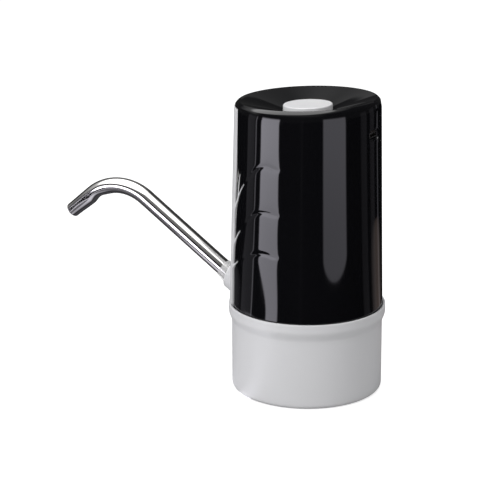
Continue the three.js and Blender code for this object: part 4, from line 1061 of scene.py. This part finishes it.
def relief(tree, shader, height, strength, distance):
    bump = put(tree, "ShaderNodeBump", {"Height": height, "Strength": strength, "Distance": mm(distance)})
    tree.links.new(bump.outputs[0], shader.inputs["Normal"])


def mouldedMaterial(name, color, colorTwo, roughness, grain=3000.0, depth=0.01, **fixed):
    material, tree, shader, _ = startMaterial(name)
    surface = useGroup(tree, moulded, Color=(*color, 1), Color_Two=(*colorTwo, 1), Roughness=roughness,
                       Grain_Scale=grain)
    tree.links.new(surface["Color"], shader.inputs["Base Color"])
    tree.links.new(surface["Roughness"], shader.inputs["Roughness"])
    relief(tree, shader, surface["Height"], 0.5, depth)
    for key, value in fixed.items():
        shader.inputs[key.replace("_", " ")].default_value = value
    return material


def polishedMaterial(name, color, roughness, handling, metallic=0.0, wave=0.0, waveScale=45.0):
    material, tree, shader, _ = startMaterial(name)
    shader.inputs["Base Color"].default_value = (*color, 1)
    shader.inputs["Metallic"].default_value = metallic
    surface = useGroup(tree, handled, Roughness=roughness, Handling=handling, Wave_Scale=waveScale)
    tree.links.new(surface["Roughness"], shader.inputs["Roughness"])
    if wave:
        relief(tree, shader, surface["Height"], 0.3, wave)
    return material


finishes = {
    "white_plastic": mouldedMaterial("whiteMoulding", (0.62, 0.62, 0.635), (0.60, 0.60, 0.615), 0.5),
    "button_white": mouldedMaterial("whiteButton", (0.70, 0.70, 0.71), (0.68, 0.68, 0.69), 0.38),
    "black_gloss": polishedMaterial("blackGloss", (0.0032, 0.0032, 0.004), 0.045, 0.06, wave=0.02),
    "polished_steel": polishedMaterial("polishedSteel", (0.66, 0.65, 0.64), 0.09, 0.07, 1.0, wave=0.01),
    "clear_silicone": mouldedMaterial("milkySilicone", (0.88, 0.88, 0.88), (0.84, 0.84, 0.84), 0.3,
                                      Alpha=0.28, IOR=1.41),
    "grey_rubber": mouldedMaterial("greyRubber", (0.06, 0.06, 0.065), (0.075, 0.075, 0.08), 0.72, depth=0.03),
    "nylon": mouldedMaterial("naturalNylon", (0.70, 0.68, 0.62), (0.66, 0.64, 0.57), 0.5),
    "pump_white": mouldedMaterial("pumpPlastic", (0.72, 0.72, 0.71), (0.69, 0.69, 0.68), 0.46),
    "board_green": mouldedMaterial("solderMask", (0.02, 0.16, 0.06), (0.015, 0.12, 0.045), 0.3, grain=900.0),
    "switch_black": mouldedMaterial("switchPlastic", (0.02, 0.02, 0.02), (0.03, 0.03, 0.03), 0.5),
    "nickel": polishedMaterial("nickelPlate", (0.55, 0.53, 0.50), 0.22, 0.12, 1.0),
    "zinc_plate": polishedMaterial("zincPlate", (0.50, 0.50, 0.51), 0.28, 0.14, 1.0,
                                   wave=0.01, waveScale=700.0),
    "cell_wrap": mouldedMaterial("cellFilm", (0.04, 0.16, 0.45), (0.035, 0.14, 0.40), 0.28, grain=400.0),
    "red_wire": mouldedMaterial("redSheath", (0.45, 0.01, 0.01), (0.40, 0.01, 0.01), 0.4),
    "black_wire": mouldedMaterial("blackSheath", (0.015, 0.015, 0.015), (0.02, 0.02, 0.02), 0.4),
}
print("materials made")


# Pieces: each rides on its body, stands for its node and takes that node's slot

slotOf = {row["node"]: row["material_slot"] for row in frame["record"]["subparts"]}


def dress(piece, bodyName, node):
    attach(piece, bodyName)
    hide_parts(node)
    piece.data.materials.clear()
    piece.data.materials.append(finishes[slotOf[node]])


dress(makeShell(), "root", "outer_shell")
print("shell made")
dress(gather(makePanelWall(), [makeLap()]), "root", "front_panel")
dress(makeNose(), "root", "front_panel")
print("panel made")
dress(makeSpoutTube(), "spout", "spout_tube")
dress(makeSeal(), "seal", "spout_seal")
dress(makeBase(), "root", "base_housing")
dress(makeButton(), "button", "power_button")
print("spout, base and button made")

for name, piece in frame["nodes"].items():
    piece.data.materials.clear()
    piece.data.materials.append(finishes[slotOf[name]])
print("carried nodes finished")


# Light: tall strips and an overhead panel that only the gloss shows, and soft lamps for the rest

lightSet = {
    # middle, half width and softness in degrees about the pump, and glow; "near" gives the reaches in metres
    # between which a strip moves and narrows towards the pump, "ends" those between which it rounds off, and
    # "pinch" how far it moves close to the pump, where only the grooves see it
    "strips": [
        {"at": (-121.8, 15.4, 1.2, 3.9), "near": (0.185, 0.31), "move": 9.6, "narrow": -6.7, "pinch": -8},
        {"at": (-21.3, 17.9, 1.6, 1.2), "near": (0.25, 0.33), "move": -1, "narrow": -1.5,
         "ends": (0.262, 0.32)},
        {"at": (-147.2, 1, 0.8, 1.2)},
        {"at": (-158, 8, 1.2, 0.2), "near": (0.25, 0.37), "move": -1, "narrow": 4.5},
        {"at": (-71, 1, 1, 0.06)},
        {"at": (32, 6.5, 2, 0.09)},
        {"at": (53, 6, 2, 0.07)},
        {"at": (71, 2, 1.5, 0.2), "ends": (1.2, 0.56)},
        {"at": (-150, 16, 10, 0.8), "ends": (0.168, 0.135)},
        {"at": (165, 18, 9, 0.08), "ends": (0.24, 0.18)},
    ],
    "warm": {"at": (63, 13, 9, 0.22), "ends": (0.36, 0.26)},
    "pinchAt": (0.11, 0.15),
    "ground": 0.003,
    "gain": (0.25, 0.8, 0.85, 1.15),  # reaches, and the strips' gain there
    "tint": ((1.0, 1.0), (0.78, 0.98), (0.7, 1.09)),  # the warm patch and the strips, in red, green, blue
    "fade": (0.05, 0.2),  # heights of a direction between which the strips end over the horizon
    # a low backdrop behind the pump: its sill rises to both sides, and its glow grows over "turn" degrees
    "behind": {"middle": 118.8, "wide": 5, "rise": 0.059, "low": 0.22, "high": 0.39, "view": (25, 35),
               "turn": 8, "edge": (-0.01, 0.02), "glow": (0.095, 0.165)},
    # a round panel overhead, in the level plane of a direction, and a weaker halo round its rear
    "above": {"middle": (-0.24, -0.14, 0), "reach": 0.61, "soft": 0.05, "glow": 2.9, "from": (0.15, 0.25),
              "halo": (0.86, 0.7), "rear": (-0.6, -0.35)},
    "gloom": {"all": 0.03, "front": 0.18, "ahead": (-0.45, -0.75), "from": (0.32, 0.45)},
    "plain": 0.5,
}


def turnAndParts(tree, place):
    # the turn about the pump's axis in degrees, and the three parts of the place
    parts = put(tree, "ShaderNodeSeparateXYZ", {0: place}).outputs
    return maths(tree, "DEGREES", maths(tree, "ARCTAN2", parts["Y"], parts["X"])), parts


def awayFrom(tree, turn, middle):
    return maths(tree, "ABSOLUTE", maths(tree, "WRAP", maths(tree, "SUBTRACT", turn, middle), -180.0, 180.0))


def buildStudio(tree, given):
    turn, _ = turnAndParts(tree, given["Place"])
    reach = vectors(tree, "LENGTH", given["Place"], output="Value")

    def strip(at, near=None, move=0, narrow=0, ends=None, pinch=0):
        middle, half, soft, glow = at
        if near:
            share = ramp(tree, reach, *near, 1.0, 0.0)
            middle = maths(tree, "MULTIPLY_ADD", share, move, middle)
            half = maths(tree, "MULTIPLY_ADD", share, narrow, half)
        if pinch:
            share = ramp(tree, reach, *lightSet["pinchAt"], 1.0, 0.0)
            middle = maths(tree, "MULTIPLY_ADD", share, pinch, middle)
        if ends:
            span = {"Value": reach, "From Min": ends[1], "From Max": ends[0]}
            share = put(tree, "ShaderNodeMapRange", span).outputs[0]
            bow = maths(tree, "SQRT", maths(tree, "SUBTRACT", 1.0, maths(tree, "MULTIPLY", share, share)))
            half = maths(tree, "MULTIPLY", half, bow)
            glow = ramp(tree, bow, 0.0, 0.2, 0.0, glow)
        away = maths(tree, "SUBTRACT", awayFrom(tree, turn, middle), half)
        return ramp(tree, away, -soft, soft, glow, 0.0)

    total = lightSet["ground"]
    for row in lightSet["strips"]:
        total = maths(tree, "ADD", strip(**row), total)
    low, high, weak, strong = lightSet["gain"]
    total = maths(tree, "MULTIPLY", total, ramp(tree, reach, low, high, weak, strong))
    warm = strip(**lightSet["warm"])
    tones = [maths(tree, "MULTIPLY_ADD", warm, w, maths(tree, "MULTIPLY", total, t))
             for w, t in lightSet["tint"]]
    return {"Color": put(tree, "ShaderNodeCombineColor", tones).outputs[0]}


studio = makeGroup("studioGlow", [("Place", "NodeSocketVector", None)], [("Color", "NodeSocketColor")],
                   buildStudio)


def makeWorld():
    world = bpy.data.worlds.new("studio")
    scene.world = world
    world.use_nodes = True
    tree = world.node_tree
    tree.nodes.clear()
    way = put(tree, "ShaderNodeTexCoord").outputs["Generated"]
    strips = useGroup(tree, studio, Place=way)[0]
    turn, parts = turnAndParts(tree, way)

    box = lightSet["behind"]
    aside = maths(tree, "SUBTRACT", awayFrom(tree, turn, box["middle"]), box["wide"])
    sill = put(tree, "ShaderNodeClamp", {0: maths(tree, "MULTIPLY_ADD", aside, box["rise"], box["low"]),
                                         1: box["low"], 2: box["high"]}).outputs[0]
    inView = ramp(tree, awayFrom(tree, turn, box["middle"]), *box["view"], 1.0, 0.0)
    glow = ramp(tree, turn, box["middle"], box["middle"] + box["turn"], *box["glow"])
    behind = maths(tree, "MULTIPLY", maths(tree, "MULTIPLY", inView, glow),
                   ramp(tree, maths(tree, "SUBTRACT", parts["Z"], sill), *box["edge"]))

    box = lightSet["above"]
    flatWay = vectors(tree, "MULTIPLY", way, (1, 1, 0))
    off = vectors(tree, "DISTANCE", flatWay, box["middle"], "Value")
    panel = ramp(tree, off, box["reach"] - box["soft"], box["reach"] + box["soft"], box["glow"], 0.0)
    halo = maths(tree, "MULTIPLY", ramp(tree, off, box["reach"], box["halo"][0], box["halo"][1], 0.0),
                 ramp(tree, parts["Y"], *box["rear"]))
    above = maths(tree, "MULTIPLY", maths(tree, "ADD", panel, halo), ramp(tree, parts["Z"], *box["from"]))
    box = lightSet["gloom"]
    ahead = maths(tree, "MULTIPLY", ramp(tree, parts["Y"], *box["ahead"]),
                  ramp(tree, parts["Z"], *box["from"], 0.0, box["front"]))
    above = maths(tree, "ADD", maths(tree, "ADD", above, ahead), box["all"])

    low = ramp(tree, parts["Z"], *lightSet["fade"], 1.0, 0.0)
    dim = put(tree, "ShaderNodeVectorMath", {0: strips, "Scale": low}, operation="SCALE").outputs[0]
    path = put(tree, "ShaderNodeLightPath").outputs
    gloss = put(tree, "ShaderNodeBackground", {
        "Color": vectors(tree, "ADD", dim, maths(tree, "ADD", behind, above)), "Strength": 1.0})
    plain = put(tree, "ShaderNodeBackground", {"Color": (1, 1, 1, 1), "Strength": lightSet["plain"]})
    white = put(tree, "ShaderNodeBackground", {"Color": (1, 1, 1, 1), "Strength": 1.0})
    mixed = mixShaders(tree, path["Is Glossy Ray"], plain, gloss)
    clear = maths(tree, "MAXIMUM", path["Is Camera Ray"], path["Is Transmission Ray"])
    final = mixShaders(tree, clear, mixed, white)
    put(tree, "ShaderNodeOutputWorld", {"Surface": final.outputs[0]})


floorSet = {
    "half": 4.0,  # metres
    "drop": 0.05,  # under the pump's foot
    "tone": 0.55,
    "roughness": 0.9,
    "lift": 0.7,  # added where the camera sees it, up to white
}


def makeFloor():
    mesh = bpy.data.meshes.new("floor")
    half, tone = floorSet["half"], floorSet["tone"]
    mesh.from_pydata([(x * half, y * half, 0) for x, y in ((-1, -1), (1, -1), (1, 1), (-1, 1))], [],
                     [(0, 1, 2, 3)])
    piece = bpy.data.objects.new("floor", mesh)
    scene.collection.objects.link(piece)
    piece.location.z = mm(-floorSet["drop"])
    material, tree, shader, end = startMaterial("paleFloor")
    shader.inputs["Base Color"].default_value = (tone, tone, tone, 1)
    shader.inputs["Roughness"].default_value = floorSet["roughness"]
    shader.inputs["Specular IOR Level"].default_value = 0.0
    path = put(tree, "ShaderNodeLightPath").outputs
    strips = useGroup(tree, studio, Place=put(tree, "ShaderNodeNewGeometry").outputs["Position"])[0]
    glow = put(tree, "ShaderNodeEmission", {"Color": strips, "Strength": 1.0})
    lift = put(tree, "ShaderNodeEmission", {"Color": (1, 1, 1, 1), "Strength": floorSet["lift"]})
    pale = put(tree, "ShaderNodeAddShader", {0: shader.outputs[0], 1: lift.outputs[0]})
    seen = maths(tree, "MAXIMUM", path["Is Camera Ray"], path["Is Transmission Ray"])
    mixed = mixShaders(tree, seen, shader, pale)
    final = mixShaders(tree, path["Is Glossy Ray"], mixed, glow)
    tree.links.new(final.outputs[0], end.inputs["Surface"])
    mesh.materials.append(material)


lampTarget = (0, 0, 0.08)
lampSet = [  # places and sizes in metres, power in watts
    {"name": "keyLamp", "place": (-0.4, -1.1, 0.8), "size": (0.5, 0.9), "power": 10.6},
    {"name": "fillLamp", "place": (1.0, -0.5, 0.5), "size": (0.5, 0.9), "power": 1.8},
    {"name": "topLamp", "place": (0.0, 0.1, 1.2), "size": (0.8, 0.8), "power": 5.0},
]


def makeLamp(name, place, size, power):
    data = bpy.data.lights.new(name, "AREA")
    data.shape = "RECTANGLE"
    data.size, data.size_y = size
    data.energy = power
    lamp = bpy.data.objects.new(name, data)
    scene.collection.objects.link(lamp)
    lamp.location = place
    lamp.rotation_mode = "QUATERNION"
    lamp.rotation_quaternion = (Vector(lampTarget) - Vector(place)).to_track_quat("-Z", "Y")
    lamp.visible_glossy = False


makeWorld()
makeFloor()
for row in lampSet:
    makeLamp(**row)

scene.view_settings.view_transform = "Standard"
print("light set")
